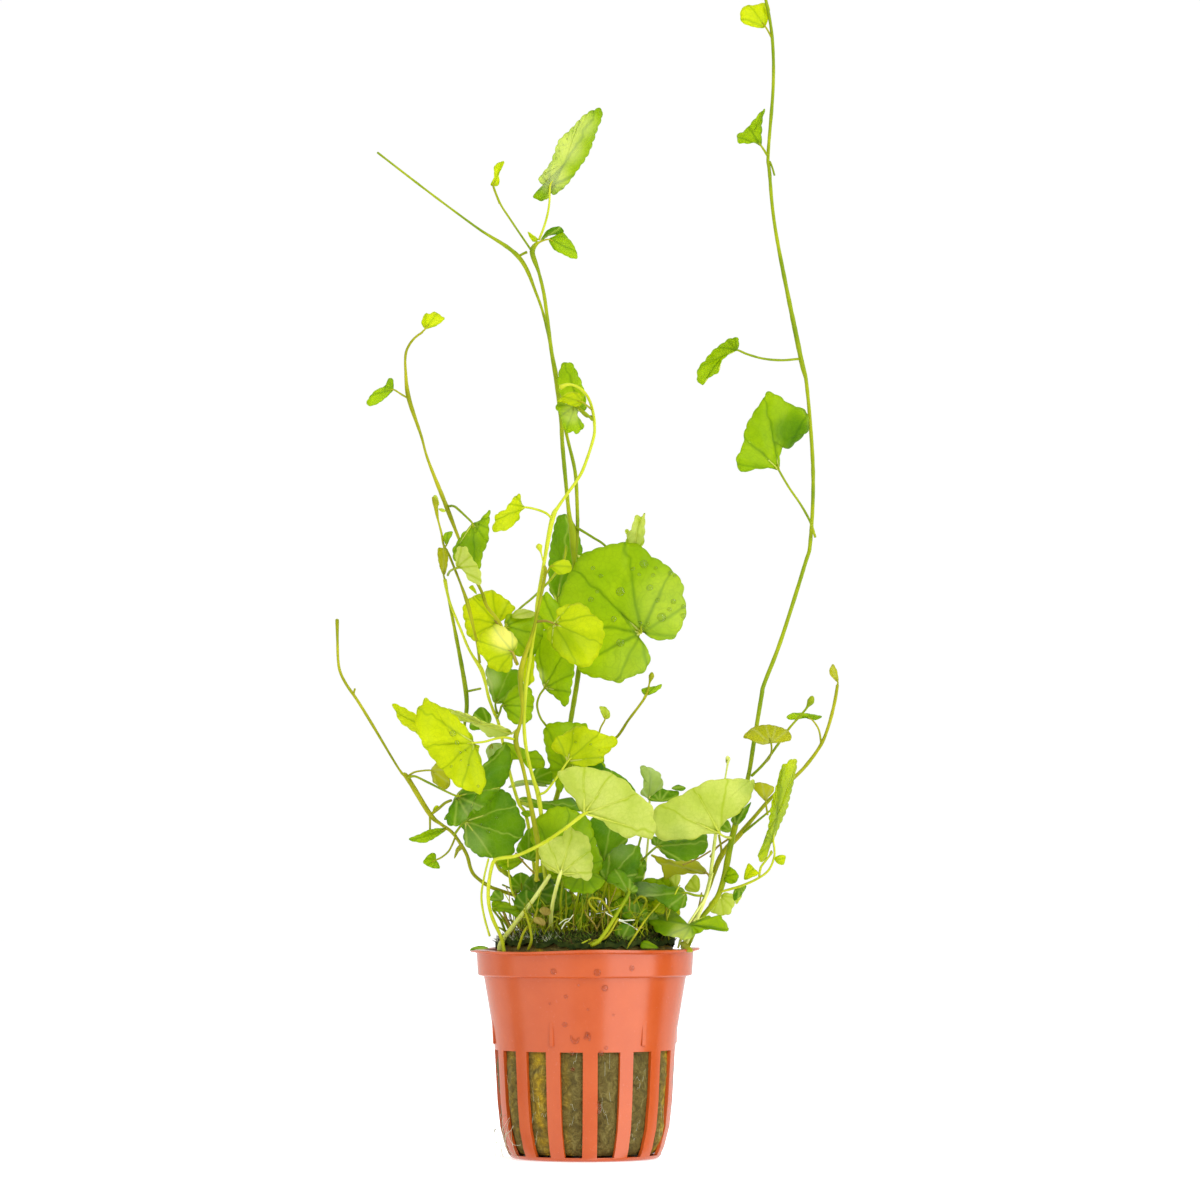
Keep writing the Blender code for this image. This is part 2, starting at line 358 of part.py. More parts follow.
    "leaf_front_underside": ([(-8.6, 57, -10), (-8.6, 61, -14), (-8.1, 64.8, -18), (-7.2, 68.6, -23),
        (-6.3, 71.7, -26)], [
        (-8.5, 72.4), (-11.3, 75), (-11.7, 78.7), (-9, 80.5), (-6, 81.2), (-4.4, 83.8), (1.1, 80.2),
        (2, 75), (1.3, 70.3),
    ], (0.1, -0.15), "under"),
    "leaf_front_olive": ([(-5.6, 57, -8), (-6.2, 65, -12), (-5, 72.5, -14)], [
        (-12, 76.8), (-13.7, 80.5), (-13.2, 84.7), (-10.5, 87), (-5.5, 88.8), (0.9, 85.6), (4.5, 74.8),
        (3.4, 71.8), (1.5, 70.4), (-1.5, 70.8),
    ], (0, 0.3), "upper"),
    "leaf_front_lip": ([(-3, 57, -9), (-2, 65, -14), (-0.5, 72.2, -18)], [
        (-4, 71.9), (-6, 71), (-5.6, 69.5), (-3, 67.2), (0.5, 66.8), (3.8, 68.3), (5, 69.7), (3.6, 71.4),
    ], (0, 1.2), "upper"),
    "leaf_right_pale": ([(36.9, 80.9, -2.6), (36.4, 81, -6), (35.6, 81.1, -9.5), (34.3, 81.9, -14)], [
        (35.6, 85), (41, 89.2), (43, 95.5), (38, 96), (32, 95.6), (20.5, 90), (17.3, 86.8), (17.6, 82.2),
        (20.3, 80), (27, 80.4), (31.3, 82),
    ], (0.1, -0.3), "under"),
    "leaf_right_dark": ([(8, 57, -1), (11, 66, -5), (13.2, 73.4, -6.5), (15.5, 76.2, -8), (18.2, 78.6, -9)], [
        (16.8, 79.6), (17.2, 81.2), (19.6, 80.4), (25.2, 80.8), (27, 80.3), (30.5, 81.8), (31.1, 79.5),
        (30.6, 77.5), (26.8, 75.3), (21.5, 75.6),
    ], (0.05, 1), "upper"),
    "leaf_right_saddle": ([(31.9, 70.2, 2), (31.6, 71, 1), (31, 71.9, -0.4)], [
        (28.3, 75), (22, 75.2), (16.8, 76.5), (19.5, 73.6), (20.2, 70.5), (27, 72.3),
    ], (-0.1, 1), "upper"),
    "leaf_right_olive": ([(29.6, 66.2, -4.6), (28, 66.3, -6.5), (25.6, 67, -9)], [
        (22, 68.4), (13, 69.9), (12.7, 67.8), (13.5, 66), (17.2, 65.9), (22.8, 62.2), (25.3, 63.5),
    ], (0.1, 0.6), "upper"),
    "leaf_rim_saddle": ([(23.6, 50.5, -8), (25.4, 54, -8.2), (27.4, 57.2, -9), (28.2, 58.5, -10.6),
        (27, 58.7, -11.5)], [
        (24.3, 60), (22.5, 62.2), (16.6, 62.4), (15.6, 60.3), (18, 57.3), (25, 55.1), (31, 57.7),
        (34.5, 57.4), (36.5, 57.9), (34.2, 61.2), (31.3, 61.3),
    ], (0, 2.2), "upper"),
    "leaf_base_shiny": ([(2, 53.8, -24.6), (3.4, 54.6, -24), (4.8, 56.4, -22.8), (6.4, 58.8, -21.5),
        (8.7, 62.6, -19.5), (11.2, 67, -18)], [
        (13.4, 68), (10.5, 71.5), (8.3, 73), (6.2, 72.2), (5.4, 70),
    ], (0.1, 0.3), "upper"),
    "leaf_base_dark": ([(2, 57, -5), (4, 64, -9), (5.6, 69.8, -12)], [
        (4.4, 73), (6.5, 77.5), (8.8, 79), (13.5, 78.8), (14.2, 77.3), (13.3, 72), (11.5, 70.2),
    ], (0, 0.2), "upper"),
    "leaf_right_hanging": ([(34.2, 65.8, 1.2), (34.3, 66.3, 3)], [
        (31.3, 62.7), (34, 61.3), (36.5, 61.5), (38, 64.8), (37, 66.6),
    ], (0.3, -0.4), "under"),
    "leaf_right_upright": ([(35.2, 67.4, -2.1), (39.9, 68.8, -5), (44.1, 70.7, -7), (46.7, 72.8, -8.5),
        (48, 75.9, -9.5), (48.1, 78, -9.8), (47.8, 80.3, -10)], [
        (51.5, 88.5), (53.8, 99.6), (53.2, 101.1), (50, 99), (48.2, 93.5), (45.7, 80.8), (44, 76.3),
        (44.7, 74.9),
    ], (2.6, -0.9), "upper"),
    "leaf_base_left": ([(-20.2, 57, -7), (-21.4, 60, -9), (-23.5, 63, -11)], [
        (-23.4, 64.9), (-21.5, 65), (-17.5, 63.3), (-15.6, 61), (-22.2, 62.3),
    ], (0.2, 0.8), "upper"),
}



def clear_scene():
    """Remove everything that a new file starts with."""
    for item in list(bpy.data.objects):
        bpy.data.objects.remove(item, do_unlink=True)


def finish(kind):
    """The plain material of one kind of surface."""
    material = bpy.data.materials.new(kind)
    material.use_nodes = True
    shader = material.node_tree.nodes["Principled BSDF"]
    shader.inputs["Base Color"].default_value = COLOURS[kind]
    shader.inputs["Roughness"].default_value = ROUGHNESS[kind]
    shader.inputs["Metallic"].default_value = 0.0
    return material


def seen(x, z, depth):
    """The point at this depth, in metres, on the line of sight that crosses the axis plane at x, z."""
    reach = 1.0 + depth / -EYE.y
    return Vector((EYE.x + (x - EYE.x) * reach, depth, EYE.z + (z - EYE.z) * reach)) * MM


def new_object(name, mesh):
    """An object in the scene for this mesh."""
    item = bpy.data.objects.new(name, mesh)
    bpy.context.scene.collection.objects.link(item)
    return item


def settled(item):
    """Replace an object by a plain mesh object of its evaluated shape, with the same name."""
    name = item.name
    shape = item.evaluated_get(bpy.context.evaluated_depsgraph_get())
    mesh = bpy.data.meshes.new_from_object(shape)
    bpy.data.objects.remove(item, do_unlink=True)
    return new_object(name, mesh)


def joined(base, others):
    """Fuse the other objects to the base and remove them.

    The solver is MANIFOLD because EXACT loses a thin blade that its stalk enters at a corner.
    """
    for other in others:
        union = base.modifiers.new("Union", "BOOLEAN")
        union.operation = "UNION"
        union.solver = "MANIFOLD"
        union.object = other
    fused = settled(base)
    for other in others:
        bpy.data.objects.remove(other, do_unlink=True)
    return fused


def tube(name, start, end, points):
    """A tapering stalk with closed ends, swept through points given as seen from the front."""
    shape = bmesh.new()
    centres = [seen(*point[:3]) for point in points]
    last = len(centres) - 1
    across = Vector((0.36, -0.8, 0.48))
    rings = []
    for index, (centre, point) in enumerate(zip(centres, points)):
        along = (centres[min(index + 1, last)] - centres[max(index - 1, 0)]).normalized()
        across = (across - along * across.dot(along)).normalized()
        beside = along.cross(across)
        radius = point[3] if len(point) > 3 else start + (end - start) * index / last
        rings.append([
            shape.verts.new(centre + (across * math.cos(turn) + beside * math.sin(turn)) * radius * MM)
            for turn in [side * math.tau / STALK_SIDES for side in range(STALK_SIDES)]
        ])
    for low, high in zip(rings, rings[1:]):
        for side in range(STALK_SIDES):
            after = (side + 1) % STALK_SIDES
            shape.faces.new((low[side], low[after], high[after], high[side]))
    shape.faces.new(reversed(rings[0]))
    shape.faces.new(rings[-1])
    mesh = bpy.data.meshes.new(name)
    shape.to_mesh(mesh)
    shape.free()
    return new_object(name, mesh)


def blade(name, base, outline, slope):
    """A thin flat leaf blade that lies in its own sloping plane, outlined from its base round to it again."""
    mesh = bpy.data.meshes.new(name)
    shape = bmesh.new()
    base_x, base_z, base_depth = base
    toward_front = Vector((slope[0], -1.0, slope[1])).normalized() * 0.5 * BLADE_THICKNESS * MM
    front = []
    back = []
    for x, z in [(base_x, base_z)] + outline:
        middle = seen(x, z, base_depth + slope[0] * (x - base_x) + slope[1] * (z - base_z))
        front.append(shape.verts.new(middle + toward_front))
        back.append(shape.verts.new(middle - toward_front))
    shape.faces.new(front)
    shape.faces.new(reversed(back))
    for index in range(len(front)):
        after = (index + 1) % len(front)
        shape.faces.new((front[after], front[index], back[index], back[after]))
    bmesh.ops.triangulate(shape, faces=shape.faces, ngon_method="EAR_CLIP")
    bmesh.ops.recalc_face_normals(shape, faces=shape.faces)
    shape.to_mesh(mesh)
    shape.free()
    return new_object(name, mesh)


def gripping(stalk, outline):
    """The leaf stalk's points with one more, a little way inside the blade, so that the two overlap."""
    x, z, depth = stalk[-1]
    middle_x = sum(point[0] for point in outline) / len(outline)
    middle_z = sum(point[1] for point in outline) / len(outline)
    toward = Vector((middle_x - x, middle_z - z)).normalized() * STALK_GRIP
    return stalk + [(x + toward.x, z + toward.y, depth)]


def grip_depth(points, slope):
    """Give the last point of a gripping stalk the depth of the blade there."""
    x, z, depth = points[-1]
    base_x, base_z, _ = points[-2]
    points[-1] = (x, z, depth + slope[0] * (x - base_x) + slope[1] * (z - base_z))
    return points


def leaf(name, stalk, outline, slope, thick, thin):
    """One leaf: its blade fused to its stalk."""
    body = blade(name, stalk[-1], outline, slope)
    points = grip_depth(gripping(stalk, outline), slope)
    return joined(body, [tube("stalk", thick, thin, points)])


def add_stems(material):
    """Every stem, with its twigs and small leaves fused to it."""
    for name, (start, end, points) in STEMS.items():
        stem = tube(name, start, end, points)
        extras = [tube("twig", *twig[1:]) for twig in TWIGS if twig[0] == name]
        extras += [leaf("small leaf", *small[1:], 0.3, 0.3) for small in SMALL_LEAVES if small[0] == name]
        if extras:
            stem = joined(stem, extras)
        dress(stem, material)


def add_leaves(materials):
    """Every leaf that has a node of its own."""
    for name, (stalk, outline, slope, side) in LEAVES.items():
        thick = 0.5 if name in ("leaf_front_pale", "leaf_base_shiny", "leaf_front_underside") else 0.36
        dress(leaf(name, stalk, outline, slope, thick, 0.34), materials[side])


def dress(item, material):
    """Give the object its own copy of a material and smooth shading."""
    item.data.materials.clear()
    item.data.materials.append(material.copy())
    item.data.shade_smooth()
    item.data.set_sharp_from_angle(angle=math.radians(40))


def pot_columns(radius):
    """The angles of the wall's columns at this radius: each bar's two sides and the middle of the slot."""
    half = math.asin(0.5 * BAR_WIDTH / radius)
    pitch = math.tau / SLOT_COUNT
    angles = []
    for bar in range(SLOT_COUNT):
        middle = math.radians(FIRST_BAR_DEGREES) + bar * pitch
        angles += [middle - half, middle + half, middle + pitch / 2]
    return angles


def turned_ring(shape, radius, height):
    """One ring of the pot's wall, with a corner at each column, angles running from the front to +X."""
    return [
        shape.verts.new(Vector((radius * math.sin(angle), -radius * math.cos(angle), height)) * MM)
        for angle in pot_columns(radius)
    ]


def add_pot(material):
    """The net pot: a turned wall whose slots are left out and lined, a flat base, and the lugs."""
    inside = [(radius - POT_WALL, height) for radius, height in reversed(POT_OUTSIDE[1:])]
    inside[0] = (inside[0][0], inside[0][1] + 0.7)
    profile = POT_OUTSIDE + POT_BRIM + inside
    shape = bmesh.new()
    rings = [turned_ring(shape, radius, height) for radius, height in profile]
    columns = len(rings[0])
    heights = [height for _, height in profile]

    def open_cell(row, column):
        lowest, highest = sorted((heights[row], heights[row + 1]))
        return column % 3 != 0 and lowest >= SLOT_BOTTOM and highest <= SLOT_TOP

    for row in range(len(rings) - 1):
        for column in range(columns):
            if not open_cell(row, column):
                after = (column + 1) % columns
                shape.faces.new((
                    rings[row][column], rings[row][after], rings[row + 1][after], rings[row + 1][column],
                ))
    line_slots(shape, rings, heights)
    for ring, height in ((rings[0], 0.0), (rings[-1], SLOT_BOTTOM)):
        centre = shape.verts.new((0.0, 0.0, height * MM))
        for column in range(columns):
            shape.faces.new((ring[column], ring[(column + 1) % columns], centre))
    bmesh.ops.recalc_face_normals(shape, faces=shape.faces)
    mesh = bpy.data.meshes.new("pot")
    shape.to_mesh(mesh)
    shape.free()
    pot = joined(new_object("pot", mesh), [lug(index) for index in range(LUG_COUNT)])
    dress(pot, material)


def line_slots(shape, rings, heights):
    """The jambs, sill and lintel of each slot, from the wall's outside to its inside."""
    outer = [row for row in range(len(POT_OUTSIDE)) if SLOT_BOTTOM <= heights[row] <= SLOT_TOP]
    inner = [len(rings) - 1 - (row - outer[0]) for row in outer]
    columns = len(rings[0])
    for left in range(1, columns, 3):
        middle = left + 1
        right = (left + 2) % columns
        for side in (left, right):
            for step in range(len(outer) - 1):
                shape.faces.new((
                    rings[outer[step]][side], rings[outer[step + 1]][side],
                    rings[inner[step + 1]][side], rings[inner[step]][side],
                ))
        for step in (0, -1):
            for near, far in ((left, middle), (middle, right)):
                shape.faces.new((
                    rings[outer[step]][near], rings[outer[step]][far],
                    rings[inner[step]][far], rings[inner[step]][near],
                ))


def lug(index):
    """One small upright stacking lug on the pot's wall."""
    angle = math.radians(FIRST_LUG_DEGREES + index * 360 / LUG_COUNT)
    mesh = bpy.data.meshes.new("lug")
    shape = bmesh.new()
    bmesh.ops.create_cube(shape, size=1.0)
    bmesh.ops.scale(shape, vec=Vector(LUG_SIZE) * MM, verts=shape.verts)
    shape.to_mesh(mesh)
    shape.free()
    item = new_object("lug", mesh)
    item.location = Vector((LUG_RADIUS * math.sin(angle), -LUG_RADIUS * math.cos(angle), LUG_MIDDLE)) * MM
    item.rotation_euler.z = angle
    return item


def add_rockwool(material):
    """The wool plug, turned from its profile."""
    shape = bmesh.new()
    rings = []
    for radius, height in WOOL_PROFILE:
        angles = [side * math.tau / WOOL_SIDES for side in range(WOOL_SIDES)]
        rings.append([
            shape.verts.new(Vector((radius * math.cos(angle), radius * math.sin(angle), height)) * MM)
            for angle in angles
        ])
    for low, high in zip(rings, rings[1:]):
        for side in range(WOOL_SIDES):
            after = (side + 1) % WOOL_SIDES
            shape.faces.new((low[side], low[after], high[after], high[side]))
    shape.faces.new(rings[0])
    shape.faces.new(rings[-1])
    bmesh.ops.recalc_face_normals(shape, faces=shape.faces)
    mesh = bpy.data.meshes.new("rockwool")
    shape.to_mesh(mesh)
    shape.free()
    dress(new_object("rockwool", mesh), material)


clear_scene()
FINISHES = {kind: finish(kind) for kind in COLOURS}
add_pot(FINISHES["pot"])
add_rockwool(FINISHES["wool"])
add_stems(FINISHES["stem"])
add_leaves(FINISHES)
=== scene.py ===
"""Cardamine in a net pot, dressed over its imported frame.

The plant is laid out as it is seen from the front, as its solids are: stems and leaves are given by points
(x, z, depth) in millimetres, where x and z are read on the plane through the pot's axis and depth runs away
from the front, and seen() puts each point at its depth on the same line of sight.
"""

import math
import random

import bmesh
import bpy
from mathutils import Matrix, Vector, noise


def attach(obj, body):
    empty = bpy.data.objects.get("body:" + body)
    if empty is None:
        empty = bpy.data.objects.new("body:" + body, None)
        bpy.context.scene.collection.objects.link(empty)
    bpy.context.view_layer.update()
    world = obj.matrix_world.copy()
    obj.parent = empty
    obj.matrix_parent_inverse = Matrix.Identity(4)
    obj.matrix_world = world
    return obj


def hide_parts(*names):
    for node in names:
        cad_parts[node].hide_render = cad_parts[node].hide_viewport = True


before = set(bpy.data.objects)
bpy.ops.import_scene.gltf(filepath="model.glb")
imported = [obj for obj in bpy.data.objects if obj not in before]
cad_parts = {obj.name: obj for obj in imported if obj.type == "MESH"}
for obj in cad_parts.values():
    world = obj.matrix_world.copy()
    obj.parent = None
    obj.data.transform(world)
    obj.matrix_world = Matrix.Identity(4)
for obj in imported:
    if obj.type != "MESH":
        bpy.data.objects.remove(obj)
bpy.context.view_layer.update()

MM = 0.001

# The camera: its place and the point that it looks at, in millimetres, and its lens.
EYE = Vector((3.8, -1300.0, 78.0))
AIM = Vector((3.8, 0.0, 141.36))
LENS = 153.4

# The pot, in millimetres; its rows are (radius, height) from the base up.
POT_WALL = 0.9
SLOT_COUNT = 15
BAR_WIDTH = 3.7
FIRST_BAR_DEGREES = 3.5
SLOT_BOTTOM = 1.0
SLOT_TOP = 27.4
POT_OUTSIDE = [
    (18.2, 0.0), (18.8, 0.25), (19.35, SLOT_BOTTOM), (20.2, 3.0), (21.5, 8.0), (22.2, 14.6), (22.55, 21.0),
    (22.9, SLOT_TOP), (23.4, 32.5), (24.65, 40.0), (25.5, 45.0), (25.7, 45.9),
]
POT_BRIM = [
    (26.9, 46.1), (27.2, 46.4), (27.5, 51.7), (27.9, 52.0), (29.0, 52.1), (29.2, 52.4), (29.0, 52.7),
    (27.2, 52.75), (26.8, 52.5), (26.5, 47.0), (25.6, 46.2),
]
# Fine columns over each bar and each slot of the wall, and the radius below which bars get no wider in angle.
BAR_COLUMNS = 4
SLOT_COLUMNS = 8
NARROWEST_BARS = 18.0
# Its stacking lugs: their width, middle radius, depth at the foot and at the top, middle height and height.
LUG_COUNT = 6
FIRST_LUG_DEGREES = -20.8
LUG_WIDTH = 1.2
LUG_RADIUS = 23.3
LUG_DEPTHS = (0.5, 1.1)
LUG_MIDDLE = 32.2
LUG_HEIGHT = 6.8
# Edges sharper than this are rounded.
SHARP_ANGLE = math.radians(38)

# The rockwool plug, in millimetres.
WOOL_PROFILE = [
    (0.0, 1.4), (16.0, 1.4), (17.9, 1.7), (18.9, 3.2), (20.1, 8.0), (20.9, 14.6), (21.5, 21.0), (21.7, 27.4),
    (22.1, 36.0), (22.2, 45.0), (22.4, 52.0), (21.6, 53.8), (19.0, 54.5), (0.0, 54.6),
]
WOOL_TOP = 54.4
WOOL_SIDES = 240
# Bulges of its side, as (radians, width in radians, height).
WOOL_BULGES = ((1.2, 0.14, 6.5), (-0.95, 0.1, 14.0), (2.6, 0.2, 10.0))
# Yellow stretches around its side, as (degrees, width in radians, strength).
WOOL_STREAKS = [
    (-31, 0.09, 0.9), (-58, 0.1, 0.45), (70, 0.14, 0.8), (-12, 0.04, 0.35), (118, 0.12, 0.7), (165, 0.1, 0.6),
    (-110, 0.12, 0.6), (-150, 0.08, 0.8),
]

# How many loose fibres it has, and how many of them are the long ones at the left.
WOOL_FIBRES = 60
STRAY_FIBRES = 16

# The moss on the plug, in millimetres, and its standing leaves.
MOSS_RADIUS = 22.8
MOSS_ROWS = 18
MOSS_SIDES = 90
MOSS_SPIKES = 7000

# The mat at the foot: standing runners from this height, fallen threads, and leaves, of which some stay low.
RUNNERS = 400
RUNNER_FOOT = 54.2
FALLEN_THREADS = 34
FOOT_LEAVES = 64
LOW_FOOT_LEAVES = 40
# A foot leaf's outline, as (turn from its direction, reach in leaf sizes).
FOOT_LEAF_OUTLINE = [
    (-2.5, 0.55), (-1.9, 0.95), (-1.2, 1.1), (-0.6, 1.3), (0.0, 1.4), (0.6, 1.25), (1.2, 1.1), (1.9, 0.9),
    (2.5, 0.5),
]

# How small leaves differ from large ones: finer stalks and teeth, and flatter blades.
SMALL_LEAF_FORM = {"thick": 0.28, "rings": 6, "crease": 0.2, "wave": 0.3, "scallop": 0.16, "pitch": 1.7}
LITTLE_LEAF_FORM = {"thick": 0.24, "rings": 5, "crease": 0.15, "wave": 0.3, "scallop": 0.12, "pitch": 1.8}
FOOT_LEAF_FORM = {"thick": 0.22, "rings": 4, "crease": 0.15, "wave": 0.3, "scallop": 0.14, "pitch": 1.6}
# How far a stalk runs into its blade, and the size from which a leaf's veins are at their full width.
STALK_INTO_BLADE = 1.4
GROWN_LEAF = 16

# Surface colours, linear: the deeper and the lighter tone of each stem.
STEM_LOOKS = {
    "green": ((0.13, 0.21, 0.001), (0.28, 0.33, 0.004)),
    "olive": ((0.18, 0.21, 0.001), (0.34, 0.34, 0.008)),
    "pale": ((0.46, 0.52, 0.08), (0.62, 0.66, 0.18)),
    "yellow": ((0.36, 0.42, 0.004), (0.50, 0.54, 0.03)),
    "brown": ((0.18, 0.13, 0.01), (0.34, 0.27, 0.04)),
    "white": ((0.60, 0.66, 0.40), (0.85, 0.88, 0.70)),
}
# The deeper tone, the lighter tone and the veins of each leaf, and the light that comes through it.
LEAF_LOOKS = {
    "bright": ((0.34, 0.47, 0.001), (0.52, 0.62, 0.006), (0.30, 0.43, 0.001), (0.86, 0.88, 0.004)),
    "fresh": ((0.14, 0.29, 0.001), (0.30, 0.44, 0.004), (0.14, 0.28, 0.001), (0.54, 0.72, 0.002)),
    "dark": ((0.045, 0.155, 0.001), (0.16, 0.31, 0.003), (0.36, 0.50, 0.06), (0.22, 0.44, 0.002)),
    "olive": ((0.24, 0.28, 0.005), (0.38, 0.40, 0.02), (0.44, 0.46, 0.10), (0.66, 0.64, 0.02)),
    "pale": ((0.60, 0.66, 0.12), (0.78, 0.80, 0.22), (0.52, 0.62, 0.03), (0.88, 0.91, 0.06)),
    "grey": ((0.36, 0.46, 0.12), (0.54, 0.62, 0.24), (0.56, 0.66, 0.30), (0.56, 0.72, 0.12)),
    "tan": ((0.34, 0.28, 0.05), (0.50, 0.42, 0.12), (0.36, 0.26, 0.06), (0.72, 0.60, 0.12)),
}
# The looks of leaves that show their under side to the front.
UNDER_LOOKS = ("pale", "grey")
# What a leaf's colour is multiplied by in its lighter and darker patches, where its under side is not, or is,
# in front; the lighter ones are partly painted highlight and the darker ones partly painted shade.
LIGHTER_AND_HIGHLIGHT_TINT = {False: (1.55, 1.25, 2.6), True: (1.15, 1.1, 1.5)}
DARKER_AND_SHADE_TINT = {False: (0.30, 0.50, 0.5), True: (0.42, 0.62, 0.25)}
# The whitish colour that lighter patches are drawn toward, partly a painted highlight.
WHITISH_PATCH_AND_HIGHLIGHT = (0.72, 0.76, 0.42)
# Moss and threads: two tones, the scale of their mottling, and how rough they are.
MOTTLED_LOOKS = {
    "moss": ((0.010, 0.022, 0.002), (0.035, 0.05, 0.006), 700.0, 0.8),
    "moss_brown": ((0.03, 0.022, 0.006), (0.10, 0.07, 0.02), 700.0, 0.8),
    "moss_light": ((0.05, 0.11, 0.006), (0.14, 0.20, 0.02), 600.0, 0.7),
    "grey_thread": ((0.36, 0.38, 0.24), (0.62, 0.63, 0.48), 900.0, 0.6),
}
# Painted shade on water drops: the colour their edges turn to on the leaves and on the pot.
WATER_EDGE_SHADE_ON_LEAF = (0.20, 0.32, 0.006)
WATER_EDGE_SHADE_ON_POT = (0.24, 0.028, 0.003)
# The angle between a leaf's main veins, in radians.
VEIN_SPREAD = 0.62

# The studio around the plant: how bright it is at each number of degrees to the right of the front.
STUDIO_LEVELS = [
    (-180, 1.01), (-106, 1.01), (-101, 0.45), (-88, 0.45), (-80, 1.35), (-22, 1.35), (-10, 0.85), (20, 0.85),
    (28, 2.9), (77, 2.9), (84, 0.15), (105, 0.15), (112, 1.01), (180, 1.01),
]
# The key light, in metres and watts.
KEY_PLACE = Vector((0.5, -0.9, 0.8))
KEY_AIM = Vector((0.0, 0.0, 0.15))
KEY_SIZE = 0.3
KEY_POWER = 1.6

# Water: drops on the leaves (x, z, radius), and drops (degrees, height, radius, flatness) and runs (degrees,
# height, radius) on the pot.
LEAF_DROPS = [
    (15, 150.5, 1.2), (9, 143.5, 1.2), (16.5, 144.5, 0.9), (19.5, 137, 1.2), (9, 130.5, 1.1),
    (14, 135.5, 0.6),
    (16, 135.3, 0.5), (21.7, 148.2, 0.7), (22.8, 147.5, 0.5), (17.3, 147.7, 0.6), (18, 149.5, 0.5),
    (12.2, 149.3, 0.6), (13.8, 147.9, 0.5), (18.5, 141.3, 0.7), (22.5, 141, 0.7), (21.5, 139, 0.6),
    (25, 139.7, 0.6), (25, 137.3, 0.7), (2, 149.5, 0.6), (4, 147.5, 0.6), (1.5, 141.5, 0.8), (3, 143.5, 0.5),
    (7.3, 136.5, 0.8), (-33.6, 107.4, 0.9), (-32.6, 105, 0.7), (-31.8, 102.6, 0.4), (-34, 99, 0.4),
    (-30.5, 103, 0.4), (-31.6, 100.6, 0.3), (-29.6, 99.4, 0.3), (-24.6, 82.4, 0.5), (-26.4, 84.2, 0.4),
    (-22.4, 86, 0.4), (1.4, 104.6, 0.4), (-2.4, 105.2, 0.4), (3.6, 103.2, 0.3), (-10, 250.4, 0.35),
    (-8.6, 252.6, 0.3), (-9.2, 248.6, 0.3), (-6.6, 256.2, 0.3), (-4.6, 259.4, 0.3), (-7.4, 254.4, 0.35),
    (-5.6, 257.8, 0.25), (-3.2, 261.4, 0.3), (-1.4, 263.6, 0.3), (-24, 90.4, 0.4), (-27.2, 94, 0.4),
]
POT_DROPS = [
    (11.4, 43.5, 0.8, 0.5), (6.6, 47.4, 0.9, 0.3), (-16.5, 47.6, 0.8, 0.4), (-10.8, 41.4, 0.5, 0.5),
    (-12.0, 34.4, 0.65, 0.5), (-7.8, 27.2, 0.5, 0.5), (-7.6, 23.2, 0.5, 0.5), (10.4, 27.2, 0.7, 0.4),
    (13.4, 28.6, 0.5, 0.5), (25.4, 48.4, 0.7, 0.4), (2.0, 38.2, 0.3, 0.6), (-3.4, 44.2, 0.3, 0.6),
    (17.2, 36.8, 0.3, 0.6), (-20.6, 39.6, 0.3, 0.6),
]
POT_RUNS = [
    [(-8.6, 31.6, 0.2), (-7.6, 30.6, 0.4), (-6.0, 30.0, 0.45), (-4.4, 30.4, 0.4), (-3.6, 31.2, 0.2)],
    [(-0.4, 31.2, 0.2), (0.6, 31.0, 0.3), (1.6, 32.2, 0.5), (2.6, 31.4, 0.45), (3.0, 30.4, 0.2)],
    [(8.4, 15.4, 0.25), (9.6, 13.6, 0.45), (8.8, 12.0, 0.3)],
]

